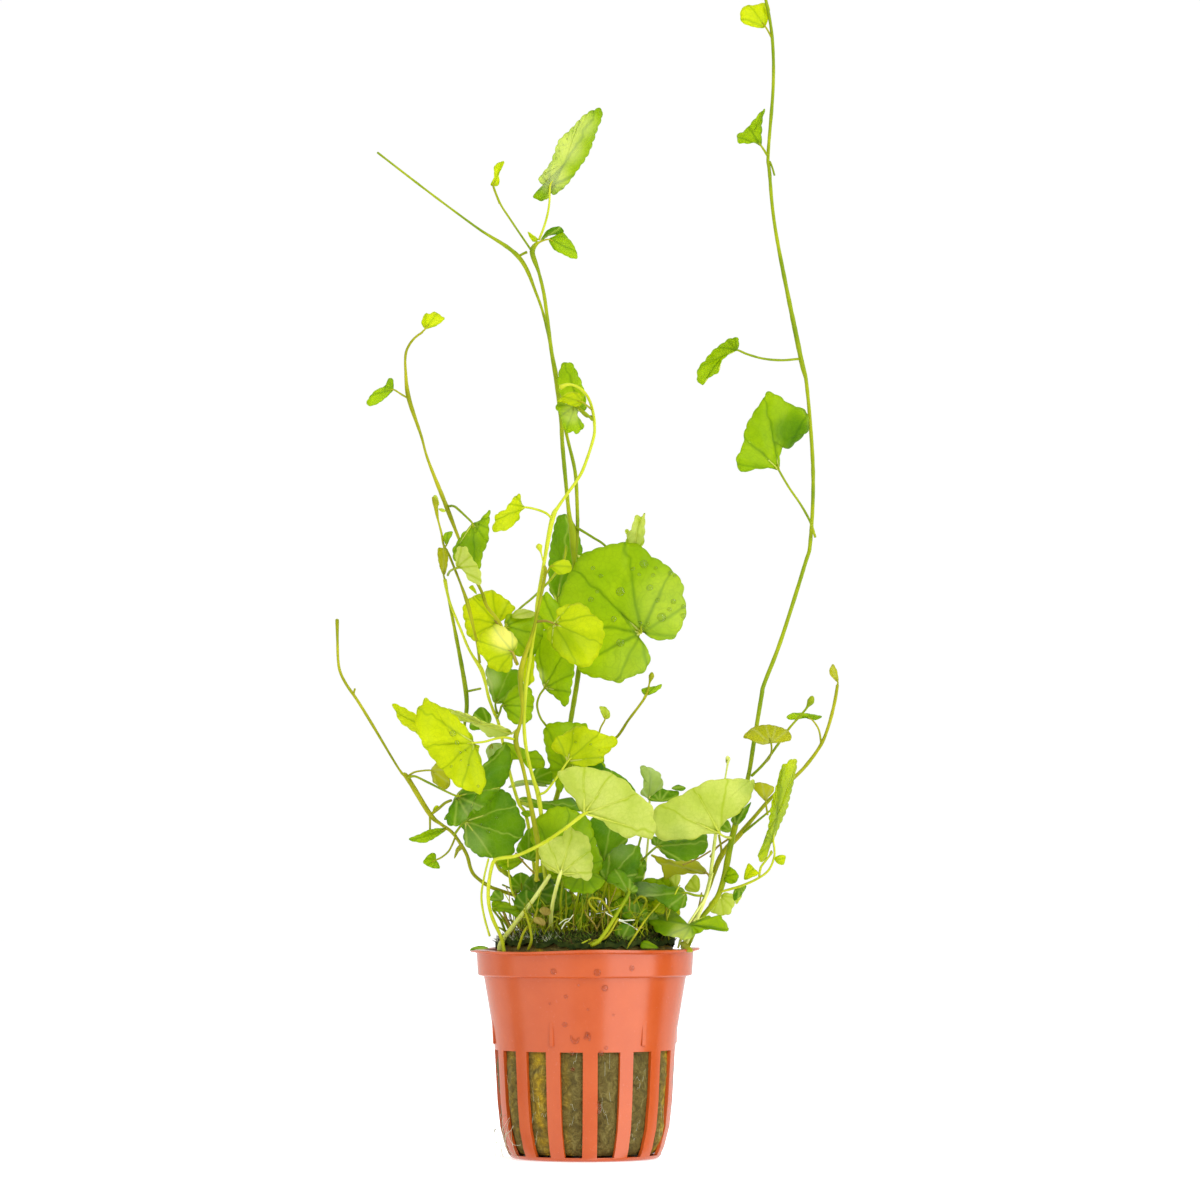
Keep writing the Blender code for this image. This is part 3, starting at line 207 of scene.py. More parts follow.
# Each stem: its radius at the foot and at the tip, and its points, as (x, z, depth), with the radius there
# where it isn't between those two.
STEMS = {
    "stem_tall_right": (0.62, 0.4,
        [(23.4, 47.5, 0), (24.9, 50.5, 0), (28.8, 59.4, -1), (34.2, 67.2, -1, 0.75), (37.5, 81.5, 0, 0.8),
         (41.3, 95.7, 2), (42.9, 105, 3), (44.9, 117, 5), (45.6, 120.1, 6), (49.8, 131, 8),
         (55.9, 150.2, 10), (57.4, 156.5, 10), (58.1, 174, 12), (56.6, 195.5, 12), (54.9, 203.8, 12, 0.65),
         (48.8, 234.9, 10), (47.1, 250.9, 8), (46.8, 255.8, 8), (48.1, 272.9, 6), (47.9, 285, 5),
         (46.4, 294.5, 4), (44.6, 300.5, 3)]),
    "stem_branch_right": (0.55, 0.42,
        [(23.2, 47.5, 4.8), (24.6, 50.5, 4.6), (27.4, 59.3, 4), (30.8, 66.5, 4), (34.4, 76, 4, 0.7),
         (39.2, 81.6, 4.5, 0.7), (43.1, 86.3, 5.5), (47.3, 91, 6), (53.5, 96.5, 7), (56.7, 99.9, 8),
         (60, 104.6, 8), (61.9, 109.3, 7), (63.4, 115, 5), (64.2, 119.7, 4)]),
    "stem_side_right": (0.35, 0.25,
        [(40.2, 82.2, 2.6), (48, 88.6, 0)]),
    "stem_bud_right": (0.38, 0.22,
        [(42.3, 96.6, 0.9), (45.6, 99.9, 1), (49.3, 105, 0), (51.9, 108.7, 0), (55.6, 112.9, -1, 0.3),
         (56.6, 114.3, -1, 0.4), (57.4, 115.6, -1, 1), (57.8, 116.8, -1, 0.5)]),
    "stem_stalk_right": (0.6, 0.3,
        [(22.9, 48, -6), (28.2, 60, -4), (30.4, 65.5, -3.5), (31.7, 70.5, -3.5), (33.2, 81.8, -4),
         (36.2, 99.4, -6, 0.25), (36.3, 100.6, -6, 0.8), (36.2, 101.6, -6, 0.3)]),
    "stem_tall_centre": (0.72, 0.42,
        [(-6, 57, 8), (-9, 66, 10), (-10.6, 75, 12), (-9.1, 85, 13), (-6.5, 94, 14), (-3.7, 110.3, 14),
         (-1.5, 125, 16), (-1.7, 137, 18), (-2.7, 150, 18), (-3.1, 157, 17, 0.95), (-3.3, 160, 17, 0.95),
         (-4.1, 163.5, 16), (-5.7, 180, 12), (-6.1, 187, 11), (-7.3, 197.5, 9, 0.65), (-8.6, 205, 7),
         (-9.6, 213, 6), (-10.5, 219.5, 4), (-11.8, 225, 3), (-13.5, 230.4, 1, 0.7), (-12, 232.9, 0)]),
    "stem_twin_centre": (0.5, 0.28,
        [(-1.9, 161.4, 17.2), (-2.2, 170, 17.5), (-2.8, 175.5, 16.5), (-4.9, 184.5, 14),
         (-7.2, 197.5, 12.3), (-9.8, 211, 9), (-12.4, 219.5, 7), (-17.1, 229.2, 3, 0.6), (-27.8, 236.7, -3),
         (-40.3, 246, -9), (-53.1, 255.9, -14)]),
    "stem_lower_centre": (0.5, 0.4,
        [(-12.4, 69.9, -16.2), (-12, 77.8, -18), (-12.1, 80.4, -18, 0.7), (-15.5, 97.5, -18),
         (-17.6, 105.4, -17, 0.7), (-16.6, 109.5, -16), (-15.9, 114, -15.5), (-16.3, 123.2, -14.5, 0.7),
         (-13.1, 134, -13), (-10.2, 147.5, -9), (-10.4, 150, -8.6)]),
    "stem_looped": (0.5, 0.36,
        [(-8, 57, -3), (-9.6, 67, -5.5), (-10.6, 76, -7), (-10.9, 84.3, -8), (-11.9, 91.8, -9.5, 0.65),
         (-13.1, 95.7, -10), (-14.4, 100.6, -10), (-15.3, 106.2, -10), (-15.5, 112, -10), (-14.9, 120, -10),
         (-13.4, 130, -9), (-12.5, 136.5, -9), (-12.1, 141.3, -8.5), (-10.6, 150, -7),
         (-8.4, 161.8, -6.5, 0.65), (-6.6, 165.5, -6), (-2, 172, -4), (-0.2, 175.5, -3), (2.1, 182.5, -2),
         (2.4, 186, -2), (1.9, 189.8, -2), (0.9, 192.8, -3), (-0.7, 194.9, -5), (-2.7, 196.1, -6),
         (-4.5, 196.4, -7), (-6.3, 195.6, -7.5, 0.7)]),
    "stem_tall_left": (0.45, 0.3,
        [(-17.2, 124.9, -12.9), (-21.4, 134.9, -9), (-25, 139.8, -5), (-26.2, 143.2, -3), (-29, 149, 0),
         (-32.3, 157.4, 2), (-35.4, 165.4, 5, 0.6), (-40, 177, 7), (-41.8, 183.3, 8), (-45, 193, 8, 0.6),
         (-45.8, 200, 7), (-45.8, 204, 6), (-45, 206.3, 5), (-43.5, 208.3, 4), (-41.5, 209.8, 3)]),
    "stem_thin_left": (0.36, 0.28,
        [(-26.8, 125.4, -3.2), (-27.4, 130, -6), (-28.2, 133.5, -7), (-29.9, 140.4, -7, 0.5),
         (-31.5, 145, -6), (-33, 148.8, -4), (-34.8, 153.2, -3), (-36, 155.3, -3), (-36.6, 158.5, -3),
         (-37.5, 162, -2), (-38, 165, -2, 0.6), (-38.2, 166.5, -2, 0.8), (-38.9, 167.6, -2, 0.2)]),
    "stem_yellow_left": (0.45, 0.32,
        [(-11, 57, 4), (-14.4, 84, 2), (-17, 90.1, 1), (-19.6, 99.2, 1), (-21.9, 109.6, 0),
         (-23.2, 112.9, 0), (-24.5, 116.5, -1), (-25.4, 120.4, -1), (-26.4, 123.7, -1.5, 0.6),
         (-28.7, 127.3, -1), (-30, 129.8, 0), (-31.5, 133.5, 0), (-34.5, 141, 1.5), (-35.7, 146.6, 2, 0.5)]),
    "stem_dark_left": (0.45, 0.35,
        [(-9, 57, 9), (-12.5, 62, 9), (-15.5, 67, 8.5), (-18.6, 70.6, 8), (-20.6, 72.4, 8, 0.7),
         (-22.7, 75, 8), (-28.3, 92, 8), (-30, 101, 8), (-30.6, 109, 7), (-30.3, 118, 6, 0.6),
         (-34.7, 141.6, 3.4)]),
    "stem_far_left": (0.5, 0.35,
        [(-6.5, 57, 2), (-10, 62, 1), (-14, 65, -1), (-21.2, 67.4, -4), (-24.5, 68.7, -5), (-27.7, 71, -6),
         (-29, 73, -6), (-30, 76.5, -6), (-31.9, 79.8, -7), (-33.9, 82.4, -8), (-36.5, 84.3, -8),
         (-39.4, 86.9, -9, 0.6), (-45.2, 96.2, -9, 0.65), (-47.2, 98.2, -9, 0.3), (-54.3, 110, -9),
         (-57.9, 115.8, -8), (-60.6, 119.7, -8), (-62.2, 122.8, -7), (-62.8, 125.8, -7), (-63, 131, -6),
         (-63.1, 136.4, -6, 0.5)]),
    "stem_thick_base": (0.72, 0.5,
        [(-21.6, 52.3, -10.8), (-20.7, 55.2, -11), (-13.4, 64.8, -13.5), (-8.9, 71.4, -16)]),
    "shoot_centre": (0.4, 0.28,
        [(-3.1, 104.2, 12.2), (2, 104.6, 11), (7.5, 106, 9), (11.1, 110.9, 6), (14.7, 115.7, 4),
         (15.8, 117.8, 3.5), (16.4, 120.3, 3, 0.25), (16.9, 122, 3, 0.75), (17, 122.9, 3, 0.3)]),
}

# The look of each stem that isn't plain green.
STEM_LOOK = {
    "stem_branch_right": "olive", "stem_stalk_right": "pale", "stem_lower_centre": "olive",
    "stem_looped": "yellow", "stem_tall_left": "olive", "stem_thin_left": "olive",
    "stem_yellow_left": "yellow", "stem_thick_base": "pale", "stem_far_left": "olive",
    "shoot_centre": "olive",
}

# Branches too short for nodes, as the stem that they grow on, their radius at each end and their points.
TWIGS = [
    ("stem_tall_right", 0.3, 0.25, [(47.2, 253.6, 8), (47.9, 251.8, 7.6), (48.4, 250, 7.2)]),
    ("stem_branch_right", 0.35, 0.3, [(34.4, 76, 4), (34.6, 78, 4), (34, 81.6, 3)]),
    ("stem_tall_centre", 0.28, 0.25,
     [(-13.5, 230.4, 1), (-16.5, 234.8, -1), (-19.5, 239.3, -3), (-21.6, 242.6, -4), (-23.5, 247.3, -5)]),
    ("stem_twin_centre", 0.35, 0.4, [(-17.1, 229.2, 3), (-15.6, 230, 3.5), (-14.9, 230.3, 3.7)]),
    ("stem_looped", 0.25, 0.25,
     [(-10.7, 151.4, -7), (-11.2, 153.4, -8), (-11.7, 155, -8.5, 0.85), (-11.8, 155.6, -8.5, 0.4)]),
    ("stem_dark_left", 0.3, 0.3, [(-30.3, 118, 6), (-28.5, 118.4, 4.5), (-26.6, 118.8, 1.5)]),
    ("stem_far_left", 0.4, 0.35, [(-39, 87, -9), (-37.4, 88.1, -10), (-35.6, 89.7, -12), (-34, 90.4, -14)]),
    ("stem_far_left", 0.3, 0.22, [(-39.4, 86.5, -9), (-39.4, 83, -10), (-39.8, 81.2, -10.5)]),
    ("stem_far_left", 0.28, 0.25, [(-58, 116, -8), (-58.8, 117.3, -8.2), (-58.5, 118.8, -8.4)]),
]

# Small leaves on the stems: the stem, the leaf stalk, the outline from the leaf's base round to it again, the
# blade's slope, as depth gained for each step in x and in z, and its look.
SMALL_LEAVES = [
    ("stem_tall_right",
     [(47.7, 285.5, 5), (46.9, 287, 4), (46.1, 288.3, 3)],
     [(44.8, 287.9), (42.4, 288.4), (40, 289.6), (39.8, 292.3), (41.2, 293.7), (43.3, 293.8), (45.5, 294.4),
      (46.9, 294), (47.2, 291.8)],
     (0.3, 0.5), "bright"),
    ("stem_tall_right",
     [(34.9, 70.7, -0.8), (35.2, 71, -1.2)],
     [(35.3, 72.3), (36.1, 73.5), (37.3, 73.3), (38.5, 72.2), (39, 70.9), (38, 69.4), (36.4, 69.3),
      (35.3, 70.1)],
     (-0.6, 0.3), "fresh"),
    ("stem_branch_right",
     [(64.2, 119.7, 4), (64.3, 120.4, 4)],
     [(63, 121.5), (62.1, 123), (62.9, 125), (63.9, 123.8), (64.4, 121.7)],
     (0.6, 0), "olive"),
    ("stem_branch_right",
     [(60, 105, 8), (59.4, 108.4, 7), (57.7, 110.9, 6)],
     [(56.2, 111.4), (52.5, 110.9), (51.2, 111.4), (52.5, 112.5), (55, 112.6), (57, 112.4), (60.2, 111.7),
      (58.6, 110.8)],
     (-0.2, 1.2), "fresh"),
    ("stem_side_right",
     [(46.3, 87.2, 0.6), (46, 89.2, 0), (45.9, 90.2, 0)],
     [(44.5, 91.4), (42.8, 93.5), (42.6, 94.6), (45, 94.9), (48, 93.7), (47.4, 92), (46.6, 91.2)],
     (0.3, 0.4), "olive"),
    ("stem_bud_right",
     [(45.9, 100.1, 1), (46.8, 101, -3), (47.4, 103, -6), (47.3, 104.9, -8)],
     [(44.8, 104.6), (41.8, 105.9), (40.2, 106.6), (42.8, 109), (45.2, 109.5), (47.5, 109.5), (51.5, 108.2),
      (52.5, 106), (51, 105.3), (49, 105)],
     (0, 1), "olive"),
    ("stem_tall_centre",
     [(-12, 232.6, 0), (-11.2, 233.1, -0.5), (-9.3, 233.6, -2)],
     [(-8.2, 234.3), (-5.7, 235.3), (-4.8, 234.4), (-3, 232.2), (-1.9, 229), (-3.4, 228.7), (-6.2, 230),
      (-7.8, 230.8), (-8.9, 232.4)],
     (0.4, 0.5), "fresh"),
    ("stem_tall_centre",
     [(-22, 243.2, -4), (-23.5, 247.2, -5)],
     [(-24.2, 247.7), (-23.3, 249.6), (-23.2, 252.4), (-21.4, 253.6), (-20.7, 253.3), (-22, 250.7),
      (-21.9, 248.4), (-22.3, 247.4)],
     (0.8, 0.1), "bright"),
    ("stem_lower_centre",
     [(-10.2, 147.6, -9), (-9.3, 149, -11), (-8.8, 150, -12)],
     [(-7.7, 151), (-6.3, 151.5), (-4.4, 151.5), (-3.4, 149.9), (-3.8, 148.6), (-6.5, 147.8), (-8.2, 149)],
     (0.2, 0.6), "bright"),
    ("stem_looped",
     [(1.8, 189.9, -2), (0, 191.4, -6), (-0.7, 191.9, -8)],
     [(-0.6, 193), (-1.3, 194), (-3.5, 194.5), (-5.4, 193.7), (-7, 192), (-5.5, 191.8), (-3.2, 190.9),
      (-1.4, 190.9)],
     (0.2, 0.9), "bright"),
    ("stem_tall_left",
     [(-41.8, 209.6, 3.2), (-40.8, 210.6, 2)],
     [(-41.8, 212.2), (-40.8, 214.6), (-39.8, 214.4), (-38.4, 215), (-36.6, 213.9), (-35.9, 213.1),
      (-38, 211.4), (-39.8, 210.8)],
     (0.2, 0.4), "bright"),
    ("stem_tall_left",
     [(-45.2, 192.9, 8), (-46.9, 193.9, 5), (-48.9, 195.1, 3)],
     [(-49, 197.6), (-50, 198), (-51, 196.1), (-53.7, 194.7), (-55.7, 192), (-55, 190.9), (-52.8, 191.5),
      (-50.6, 193.2), (-49.6, 194.2)],
     (0.3, 0.7), "fresh"),
    ("stem_thin_left",
     [(-35.8, 154.9, -3), (-35.3, 155.3, -4.5)],
     [(-36.2, 157.2), (-35.6, 158.5), (-33.7, 158.7), (-34.6, 156.6)],
     (0.4, 0.3), "fresh"),
    ("stem_yellow_left",
     [(-35.6, 146.2, 2), (-36, 147.6, 1.4)],
     [(-37.2, 150.5), (-37.5, 154.4), (-35.8, 154.5), (-34.9, 154), (-35.1, 150)],
     (0.6, -0.2), "olive"),
    ("stem_far_left",
     [(-45.2, 96.4, -9), (-43.5, 97.5, -10), (-41.5, 97.9, -11), (-39.2, 98, -12)],
     [(-38.4, 99.3), (-37.4, 99.7), (-35, 96.8), (-34.2, 94.9), (-35.4, 93.2), (-38.4, 94.8), (-38.9, 96.3)],
     (0.2, 0.3), "olive"),
    ("stem_far_left",
     [(-36.3, 84.2, -8), (-35.2, 83.1, -9.6)],
     [(-37.6, 83.3), (-40, 82.8), (-41.6, 82), (-44.8, 80.5), (-41.4, 79.6), (-39.5, 80.1), (-37.3, 81.4)],
     (0.3, 0.5), "fresh"),
    ("stem_far_left",
     [(-32.9, 81.2, -7.5), (-33.8, 79, -8.5), (-34.8, 77.3, -9.5), (-36.5, 75.9, -10.5), (-37.8, 75.3, -11)],
     [(-38, 76.9), (-39.5, 76.8), (-41.1, 74.8), (-40.2, 73.9), (-38.6, 73.2), (-36.9, 73.2), (-37.2, 74.4)],
     (0.2, 0.4), "fresh"),
    ("shoot_centre",
     [(14.8, 115.9, 4), (15.3, 117.1, 3.2)],
     [(14.3, 118.5), (16, 119.2), (18, 119.4), (19.5, 119.9), (19.2, 118.9), (17.4, 117.6)],
     (0.2, 0.5), "fresh"),
    ("shoot_centre",
     [(3.2, 104.8, 10.6), (3.8, 108.4, 10), (5.1, 111, 9.5)],
     [(4.2, 112.4), (3.7, 114.2), (5.2, 114.1), (6.2, 112.9), (6.3, 111.5)],
     (0.3, 0.2), "pale"),
]

# Each large leaf: its stalk from the stem to the blade's base, the blade's outline from the base round to it
# again, its slope in x and z, its look, its stalk's look, and its form where that isn't the usual one.
LEAVES = {
    "leaf_right_high": (
        [(46.3, 255.6, 7.2), (45.8, 256.4, 6.5), (45, 257.6, 6)],
        [(43.5, 258.3), (40.3, 258.2), (39.1, 258.6), (38.9, 260.3), (41, 261.7), (42.6, 263.6),
         (45.8, 267.1), (45.3, 264.5), (45.1, 260.5)],
        (-0.5, 0.5), "fresh", "green", {}),
    "leaf_right_curled": (
        [(54.1, 202.9, 11), (50, 202.6, 8), (45.5, 203, 5), (41.5, 204.1, 2), (38.8, 205.2, 0)],
        [(39.3, 207), (38.9, 208.3), (37, 208.2), (35, 206.9), (32.5, 204.9), (30.5, 202.5), (28.9, 200.6),
         (28.6, 197.6), (29.9, 196.3), (31.2, 198), (33.8, 199.4), (34.3, 201.5), (35.5, 203.2),
         (37.4, 204.8)],
        (-0.5, 0.6), "fresh", "green", {"cup": -0.3}),
    "leaf_right_folded": (
        [(58.5, 157.8, 9), (57.4, 161.2, 7), (55, 165.6, 3), (52, 170, 1), (49.4, 174.5, -1)],
        [(47.8, 174.9), (45, 174.9), (42.3, 174.5), (39.9, 174), (38.5, 177), (40.2, 181), (40.9, 185.3),
         (43.5, 190), (45, 192), (46.6, 194.5), (49.8, 193.2), (51.8, 191.6), (54.6, 190.5), (56.5, 189.3),
         (57, 185), (54.2, 182), (51.8, 180), (50.2, 180.2), (49.6, 177)],
        (0.3, 0.35), "fresh", "green", {
            "folds": [(48.6, 181.5, -20, 0.55)],
            # The deep dark patch on its right half is painted shade, where that half curls away into shadow.
            "tones_and_painted_light": [(53, 184, 5, -0.9), (43, 184, 7, -0.08)],
            "pitch": 3.2,
        }),
    "leaf_top_long": (
        [(-11.6, 233.9, 0.4), (-10.6, 236.5, -1), (-9.6, 240, -2), (-9.1, 243.5, -2.5), (-9, 247.4, -3)],
        [(-9.5, 244.3), (-11.2, 243.5), (-13.2, 244.6), (-10.6, 247.2), (-11.9, 248.9), (-9, 253),
         (-7.8, 256), (-6.7, 259), (-3.5, 262.1), (0, 265.7), (3.8, 267.3), (4.3, 265), (3.3, 262.5),
         (2.5, 260), (0.7, 255.3), (-2.2, 251), (-5.1, 247.2), (-8.3, 245)],
        (0.9, -0.5), "fresh", "yellow", {
            "tones_and_painted_light": [(-8.5, 250, 4, 0.8), (-4.8, 257, 4, 0.75), (-1, 263, 3.5, 0.6)],
            "pitch": 2.2,
        }),
    "leaf_loop_back": (
        [(1.4, 188.2, -1.2), (0.4, 188.2, 0.6), (-1, 189.4, 2)],
        [(-3.5, 190.5), (-6, 193), (-7, 197), (-6.5, 200), (-5.8, 201.7), (-4.4, 202.1), (-3.1, 201.5),
         (-2, 199.4), (-0.7, 196.4), (0.1, 193), (0.3, 190.3)],
        (-0.1, 0.15), "fresh", "green", {}),
    "leaf_loop_front": (
        [(1.6, 187.6, -3), (0, 189.2, -5.4), (-2.6, 190.9, -5)],
        [(-5.3, 191.7), (-7.1, 191.6), (-7.4, 190.3), (-6.4, 188.6), (-5.1, 184.4), (-3.1, 184.3),
         (-2.2, 183.8), (-0.7, 184.9), (-0.4, 186.3), (-1.8, 188), (-1.9, 189.6)],
        (0.2, 0.3), "fresh", "green", {"tones_and_painted_light": [(-3.5, 189, 2.5, 0.5)]}),
    "leaf_left_high": (
        [(-34.4, 165.3, 3.9), (-33.2, 165.2, 2.2), (-30.3, 162.6, -1), (-28.7, 160.9, -2.5)],
        [(-29.8, 159.6), (-31.3, 158.2), (-32.5, 156.2), (-33.7, 154), (-33, 151), (-29.5, 148.4),
         (-27, 148.8), (-26.1, 153), (-24.7, 156.5), (-24.5, 160.5), (-24.3, 164.2), (-26, 162.6),
         (-27.2, 161.4)],
        (0.5, 0.4), "fresh", "green", {"tones_and_painted_light": [(-30, 154, 4, -0.45)]}),
    "leaf_left_pale": (
        [(-34.9, 147.8, 0.9), (-34.5, 148.6, -3), (-33.6, 149.2, -7), (-32.6, 149.5, -9)],
        [(-33, 151.5), (-32.6, 154.6), (-31, 155), (-30.2, 154.8), (-29.2, 152.8), (-27.8, 150.7),
         (-26.8, 149), (-26.4, 147), (-26.8, 145), (-27.9, 145.7), (-29.3, 146.1), (-30.2, 147.5),
         (-31.3, 149.2)],
        (-0.3, -0.3), "pale", "green", {}),
    "leaf_loop_side": (
        [(-8.9, 162.6, -7.4), (-9.9, 163.5, -9), (-12.2, 164.4, -11), (-15.2, 165, -13)],
        [(-16.1, 165.8), (-16.7, 168.4), (-17.9, 167.7), (-19.4, 165.8), (-20.4, 164.4), (-22.7, 163.2),
         (-23, 161.5), (-23.7, 159), (-21.8, 158.9), (-19.5, 159.4), (-18.2, 160.6), (-16.8, 162),
         (-16.5, 163.8)],
        (0.5, 0.6), "bright", "yellow", {}),
    "leaf_left_broad": (
        [(-21.6, 132.3, -5), (-21.9, 133.8, -3.4), (-22.3, 135.3, -1.2)],
        [(-24.5, 132.5), (-27.6, 130.9), (-29.9, 132.5), (-30.6, 135.5), (-31.1, 139.3), (-29.4, 141.8),
         (-26.5, 142.9), (-24, 143.9), (-21.1, 142.3), (-18.6, 140.3), (-17.9, 138.9), (-19.8, 137)],
        (-0.1, 0.4), "bright", "brown", {}),
    "leaf_left_veined": (
        [(-4.9, 154.6, 16.2), (-5.4, 151.5, 14), (-8, 147.5, 11), (-10.4, 144.8, 8), (-13.5, 141.8, 4),
         (-16.5, 139.3, -1), (-19, 136.5, -4.5), (-20.4, 134.6, -6.5)],
        [(-20.5, 136), (-20, 137.4), (-18.6, 138), (-16, 138.2), (-13.5, 138.3), (-11.4, 137.2),
         (-10.5, 134), (-11.5, 130), (-13, 127.5), (-15.3, 126.8), (-18.2, 127.8), (-20, 131)],
        (0.3, 0.3), "fresh", "green", {}),
    "leaf_left_turned": (
        [(-17.8, 125.9, -14.3), (-18.1, 126.8, -15), (-18.5, 128.1, -15.5)],
        [(-17.5, 129), (-17.2, 130.6), (-18, 132.3), (-20, 134), (-22.3, 135.1), (-24.4, 134.2),
         (-26.2, 133.1), (-27.4, 130.3), (-27.1, 128), (-25.4, 126.4), (-24.4, 124.3), (-22, 123.2),
         (-19.3, 123.2), (-18.4, 125.4)],
        (0, 0.15), "bright", "brown", {"tones_and_painted_light": [(-20.5, 132, 3.5, 0.9)]}),
    "leaf_left_shaded": (
        [(-22.4, 112.8, 1.2), (-22.7, 113.8, 2.6), (-22.8, 115, 4)],
        [(-24, 117.5), (-25, 121), (-25, 124.5), (-22.5, 125), (-19, 124), (-16.3, 122.8), (-16, 119.5),
         (-16.8, 116.5), (-19.5, 115.6)],
        (-0.15, 0.3), "dark", "green", {"tones_and_painted_light": [(-24, 121, 2.6, 0.8)]}),
    "leaf_left_low": (
        [(-22.2, 111.6, -1.2), (-21.6, 113, -2.4), (-21.1, 114.6, -3)],
        [(-20.2, 113), (-19.2, 110.8), (-17.6, 109.8), (-15.5, 109.9), (-13.8, 110.9), (-13.3, 113.5),
         (-13, 116), (-13.8, 118.6), (-15.5, 120), (-18.5, 119), (-20.5, 116.5)],
        (0.2, 0.2), "fresh", "green", {}),
    "leaf_centre_heart": (
        [(-5.8, 104.4, 12.6), (-7.5, 106.3, 9), (-9.9, 109.4, 5), (-11.4, 111.5, 3), (-12.2, 114.5, 1),
         (-11.6, 117, -1), (-10.3, 118.9, -2)],
        [(-11.6, 122.3), (-12.7, 126), (-12.6, 129.8), (-11.3, 133.2), (-8.5, 134), (-5.5, 131),
         (-3.5, 127), (-2.7, 123.5), (-3.3, 120.3), (-3.8, 117.2), (-4.9, 114.2), (-7.2, 116.3)],
        (-0.2, 0.2), "fresh", "green", {"tones_and_painted_light": [(-12, 122, 1.8, 0.8)]}),
    "leaf_centre_round": (
        [(-1.9, 159.7, 16.6), (2, 157.3, 16), (5.3, 155, 15), (10, 149, 13), (13.2, 141, 9), (14.3, 133, 4)],
        [(13.7, 131.3), (15.2, 129.7), (16.6, 126.7), (15.3, 123.4), (13.3, 122.3), (11, 121.6),
         (8.7, 120.3), (4.5, 121.3), (1.2, 121.9), (-1.3, 123.4), (-4.5, 128), (-7.3, 134), (-7.1, 139.5),
         (-5.3, 145.5), (-2.2, 151), (-0.8, 153), (4, 154.8), (9.5, 156), (14, 155.3), (16.7, 152.7),
         (20, 150.8), (23.3, 147.8), (25, 145.2), (25, 142.5), (25.8, 139), (24.9, 135.4), (23.3, 132.4),
         (22, 131.4), (19.5, 131.2), (17.4, 131.3), (15.8, 132.6)],
        (-0.15, 0.3), "fresh", "green", {
            "centre": (8.6, 138.5),
            "rings": 16,
            "pitch": 3.4,
            # Its lighter patches are painted highlight on the shiny blade.
            "tones_and_painted_light": [(22, 140, 9, 0.22), (12, 124, 7, 0.15), (-4, 148, 7, -0.15)],
        }),
    "leaf_centre_bright": (
        [(-12, 135.9, -9.4), (-9.8, 136, -10), (-8, 135.4, -10.5)],
        [(-7.2, 137.2), (-7.3, 138.6), (-5.5, 139.9), (-3, 140.4), (-1, 140.5), (0.8, 139.2), (2, 137.6),
         (4.2, 136), (4.7, 134), (4.9, 132), (3.3, 127.5), (1, 124.5), (-0.8, 124.3), (-3, 125),
         (-5, 126.3), (-7, 128), (-8.5, 129.8), (-9.6, 131.8), (-9.5, 134)],
        # Its darker patch at the left is painted shade, where it lies over other leaves.
        (0.05, 0.25), "bright", "brown", {"tones_and_painted_light": [(-6.5, 131, 4, -0.3)], "pitch": 2.8}),
    "leaf_centre_crumpled": (
        [(-1.6, 152.5, 18.6), (4, 150.5, 19.5), (10, 150.5, 18), (12.3, 153.5, 15.5)],
        [(10.5, 155), (10.7, 158), (11.9, 159.8), (12.5, 162), (13.2, 163), (14.6, 162.7), (15.2, 163.5),
         (15.2, 161), (15.1, 158), (14.6, 155)],
        (0.2, -0.3), "pale", "pale", {"crease": 0.9, "tones_and_painted_light": [(12.5, 157, 4, -0.3)]}),
    "leaf_centre_dark": (
        [(-2.6, 138, 19), (-4.5, 139, 20.5), (-7, 141, 22)],
        [(-9, 143.8), (-9.3, 147), (-9.2, 151.5), (-8.6, 156), (-7.1, 162.3), (-4.6, 163), (-2.5, 160),
         (-1, 155.6), (-0.6, 151), (-3, 145), (-5, 142)],
        # Its dark look is painted shade, for a leaf that lies deep in the plant.
        (0, 0.1), "dark", "green", {}),
    "leaf_centre_low": (
        [(-11.1, 92.1, -10.2), (-9.8, 92.8, -10), (-6.9, 96.6, -9), (-4.4, 100.3, -8)],
        [(-5.7, 101.8), (-8.3, 103.2), (-8.2, 105), (-7.4, 106.3), (-5, 107.5), (-3, 108.8), (-0.8, 109.3),
         (1.5, 108.4), (3.5, 107.8), (5, 107), (7, 106.7), (8.4, 105.4), (6.6, 103.2), (5.2, 102),
         (4.1, 100), (2, 99.3), (0, 99), (-2.5, 99.3)],
        (0.1, 0.4), "bright", "yellow", {"pitch": 2.6}),
    "leaf_centre_back": (
        [(-6.6, 95.6, 12.2), (-6.2, 96.8, 8), (-4.6, 98.5, 2.5)],
        [(-6.5, 92.4), (-9.9, 103), (-9.7, 109.6), (-1, 110), (0.8, 108.9), (4, 103), (5, 98.2), (2, 94.5),
         (-2.5, 91.6)],
        (0, 0.08), "fresh", "green", {}),
    "leaf_centre_grey": (
        [(10.5, 57, 4), (14.2, 68, 4.5), (16, 80, 4), (16.4, 90.3, 2)],
        [(15.8, 91), (14.2, 92), (14.9, 94.5), (14.7, 96.2), (13.9, 98.5), (14.9, 99.2), (17, 98.5),
         (18.6, 97.6), (19.5, 96.2), (19.8, 93), (18.5, 91.5)],
        (0.3, -0.3), "grey", "pale", {}),
    "leaf_outer_bright": (
        [(-18.5, 106, -17.8), (-20.5, 106.4, -20), (-23, 106, -23), (-25.5, 105.3, -25), (-28.2, 105, -26)],
        [(-28.9, 107.2), (-31.5, 110.3), (-33.5, 112.3), (-35.3, 113.7), (-38.7, 115.2), (-40.5, 116.4),
         (-41.5, 114.8), (-42.5, 113.8), (-43.1, 110.5), (-41.8, 105.7), (-39.8, 102.4), (-36, 97.8),
